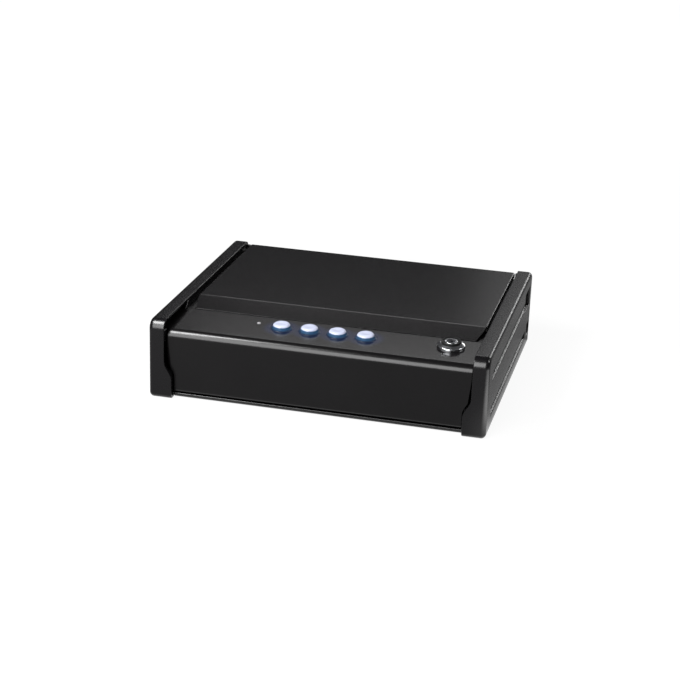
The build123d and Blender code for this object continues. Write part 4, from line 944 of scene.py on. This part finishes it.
def makeCollar(shape):
    # Its top dips a little towards the plug
    top = shape["collarHeight"]
    edge = shape["collarRound"]
    inner = shape["bore"] + shape["play"]
    seat = shape["skirtHeight"] - shape["collarSeat"]
    outline = [
        (inner, seat),
        (inner, top - shape["collarBevel"]),
        (shape["bore"] + edge, top - edge),
        (shape["collar"] - shape["collarDip"][0], top - shape["collarDip"][1]),
        *arc(shape["collar"] - edge, top - edge, edge, 120, 0, 6),
        (shape["collar"], seat),
    ]
    collar = bmesh.new()
    spinSolid(collar, outline, lockPlace, steps=96)
    finishPiece("lock_collar", collar, "lock_barrel", collarFinish, replace=False)


def makePlug(shape):
    # A funnel-shaped face leads down to the shutter
    top = shape["plugHeight"]
    edge = shape["plugRound"]
    bed = shape["shutterHeight"] - shape["shutterBed"]
    bevel, rise = shape["shutterBevel"]
    outline = [
        (0, bed),
        (shape["shutter"] + shape["play"], bed),
        (shape["shutter"] + bevel, shape["shutterHeight"] + rise),
        (shape["plug"] - shape["funnel"][0], top - shape["funnel"][1]),
        (shape["plug"] - shape["plugRing"], top),
        *arc(shape["plug"] - edge, top - edge, edge, 88, 0, 6),
        (shape["plug"], shape["plugLow"]),
        (shape["hub"], shape["plugLow"]),
        (shape["hub"], shape["hubLow"]),
        (0, shape["hubLow"]),
    ]
    plug = bmesh.new()
    spinSolid(plug, outline, lockPlace)
    carve(finishPiece("lock_plug_turned", plug, "lock_plug"), shape["keyhole"])


def makeShutter(shape):
    # A thin disc that fills the plug's middle
    top = shape["shutterHeight"]
    low = top - shape["shutterThick"]
    bevel, drop = shape["shutterBevel"]
    outline = [
        (0, top),
        (shape["shutter"] - bevel, top),
        (shape["shutter"], top - drop),
        (shape["shutter"], low),
        (0, low),
    ]
    shutter = bmesh.new()
    spinSolid(shutter, outline, lockPlace)
    carve(finishPiece("lock_shutter", shutter, "lock_plug", shutterFinish, replace=False), shape["keyhole"])


makeBarrel(lockShape)
makeCollar(lockShape)
makePlug(lockShape)
makeShutter(lockShape)
print("lock made")


# Rubber feet: a rounded disc with a grip groove underneath

footShape = {"radius": 6.0, "height": 2.0, "round": 0.5, "grooveRadius": 3.6, "groove": 0.7,
             "grooveSlope": 0.3, "grooveDepth": 0.5}


def makeFeet(shape):
    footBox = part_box("foot_pads")
    footX = footBox[1].x - shape["radius"] * mm
    footY = footBox[1].y - shape["radius"] * mm
    inner = shape["grooveRadius"]
    outline = [
        (0, shape["height"]),
        (shape["radius"], shape["height"]),
        *arc(shape["radius"] - shape["round"], shape["round"], shape["round"], 0, -90, 5),
        (inner + shape["groove"], 0),
        (inner + shape["groove"] * (1 - shape["grooveSlope"]), shape["grooveDepth"]),
        (inner + shape["groove"] * shape["grooveSlope"], shape["grooveDepth"]),
        (inner, 0),
        (0, 0),
    ]
    feet = bmesh.new()
    for sideX in (-1, 1):
        for sideY in (-1, 1):
            spinSolid(feet, outline, Matrix.Translation((sideX * footX, sideY * footY, 0)), steps=48)
    finishPiece("foot_set", feet, "foot_pads")


makeFeet(footShape)


# Foam linings: cut sheet, its edges rounded over and its face gently uneven. Lengths are in mm

foamLook = {"corner": 4.0, "cornerSteps": 6, "voxel": 1.6, "soften": 6, "rippleSize": 26.0, "ripple": 0.28,
            "edgeDrop": 0.5, "dropReach": 3.0, "skin": 0.3}


def makeFoam(node, name, seedShift):
    low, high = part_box(node)
    size = high - low
    middle = (low + high) / 2
    bm = bmesh.new()
    bmesh.ops.create_cube(bm, size=1)
    bmesh.ops.scale(bm, verts=bm.verts, vec=size)
    bmesh.ops.translate(bm, verts=bm.verts, vec=middle)
    upright = [e for e in bm.edges if abs(e.verts[0].co.z - e.verts[1].co.z) > size.z / 2]
    bmesh.ops.bevel(bm, geom=upright, offset=foamLook["corner"] * mm, segments=foamLook["cornerSteps"],
                    profile=0.5, affect="EDGES", material=-1)
    piece = placeMesh(name, bm)
    grid = piece.modifiers.new("cells", "REMESH")
    grid.mode = "VOXEL"
    grid.voxel_size = foamLook["voxel"] * mm
    applyModifiers(piece)
    bm = bmesh.new()
    bm.from_mesh(piece.data)
    for _ in range(foamLook["soften"]):
        bmesh.ops.smooth_vert(bm, verts=bm.verts, factor=0.5,
                              use_axis_x=True, use_axis_y=True, use_axis_z=True)
    # Both faces sink a little in slow ripples, and more towards the rim
    for spot in bm.verts:
        ripple = noise.noise(Vector((spot.co.x, spot.co.y, seedShift)) / (foamLook["rippleSize"] * mm))
        inset = min(spot.co.x - low.x, high.x - spot.co.x, spot.co.y - low.y, high.y - spot.co.y)
        drop = foamLook["edgeDrop"] * math.exp(-inset / (foamLook["dropReach"] * mm))
        side = 1 if spot.co.z > middle.z else -1
        share = min(1.0, abs(spot.co.z - middle.z) / (size.z * foamLook["skin"]))
        spot.co.z -= side * share * (drop + foamLook["ripple"] * (0.5 + 0.5 * ripple)) * mm
    bm.to_mesh(piece.data)
    bm.free()
    piece.data.shade_smooth()
    piece.data.materials.clear()
    piece.data.materials.append(finishes["foam_black"])
    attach(piece, nodes[node]["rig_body"])
    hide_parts(node)


makeFoam("floor_liner", "floor_foam", 0.3)
makeFoam("lid_liner", "lid_foam", 0.7)
print("feet and foam made")


# Latch spring: six turns of round wire in the sleeve that the frame keeps for it

springShape = {"turns": 6, "wire": 0.45, "stepsPerTurn": 28, "sides": 10}


def makeSpring(shape):
    low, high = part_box("latch_spring")
    middle = (low + high) / 2
    wireRadius = shape["wire"] * mm
    coil = (high.z - low.z) / 2 - wireRadius
    climb = high.x - low.x - 2 * wireRadius
    steps = shape["turns"] * shape["stepsPerTurn"]
    bm = bmesh.new()
    bmesh.ops.create_circle(bm, cap_ends=False, segments=shape["sides"], radius=wireRadius)
    for axis in "YZ":
        bmesh.ops.rotate(bm, verts=bm.verts, cent=(0, 0, 0), matrix=Matrix.Rotation(math.pi / 2, 3, axis))
    bmesh.ops.translate(bm, verts=bm.verts, vec=(low.x + wireRadius, middle.y, middle.z + coil))
    bmesh.ops.spin(bm, geom=bm.verts[:] + bm.edges[:], cent=middle, axis=(1, 0, 0),
                   angle=math.tau * shape["turns"], dvec=(climb / steps, 0, 0), steps=steps)
    bmesh.ops.holes_fill(bm, edges=[edge for edge in bm.edges if edge.is_boundary], sides=0)
    bmesh.ops.recalc_face_normals(bm, faces=bm.faces)
    finishPiece("latch_coil", bm, "latch_spring")


makeSpring(springShape)


# Cells: crimped can, jacket and button, four in a row

cellShape = {"radius": 7.1, "length": 49.0, "gap": 0.6, "button": 2.6, "buttonHeight": 1.0,
             "buttonRound": 0.3, "dimple": 0.15, "dimpleRim": (2.2, 1.8), "footRound": 0.6, "shoulder": 0.9}


def makeCells(shape):
    cells = bmesh.new()
    radius = shape["radius"]
    length = shape["length"]
    foot = shape["footRound"]
    shoulder = shape["shoulder"]
    tip = length + shape["buttonHeight"]
    outline = [
        (0, shape["dimple"]),
        (radius - shape["dimpleRim"][0], shape["dimple"]),
        (radius - shape["dimpleRim"][1], 0),
        *arc(radius - foot, foot, foot, -90, 0, 4),
        *arc(radius - shoulder, length - shoulder, shoulder, 0, 90, 5),
        (shape["button"] + shape["buttonRound"], length - shape["dimple"]),
        (shape["button"], length),
        (shape["button"], tip - shape["buttonRound"]),
        (shape["button"] - shape["buttonRound"], tip),
        (0, tip),
    ]
    for y in (cellBox[0].y + radius * mm, cellBox[1].y - radius * mm):
        for side in (-1, 1):
            start = Matrix.Translation((cellMiddle.x + side * shape["gap"] * mm, y, cellMiddle.z))
            spinSolid(cells, outline, start @ Matrix.Rotation(side * math.pi / 2, 4, "Y"), steps=48)
    finishPiece("cell_set", cells, "battery_cells")


makeCells(cellShape)
print("spring and cells made")
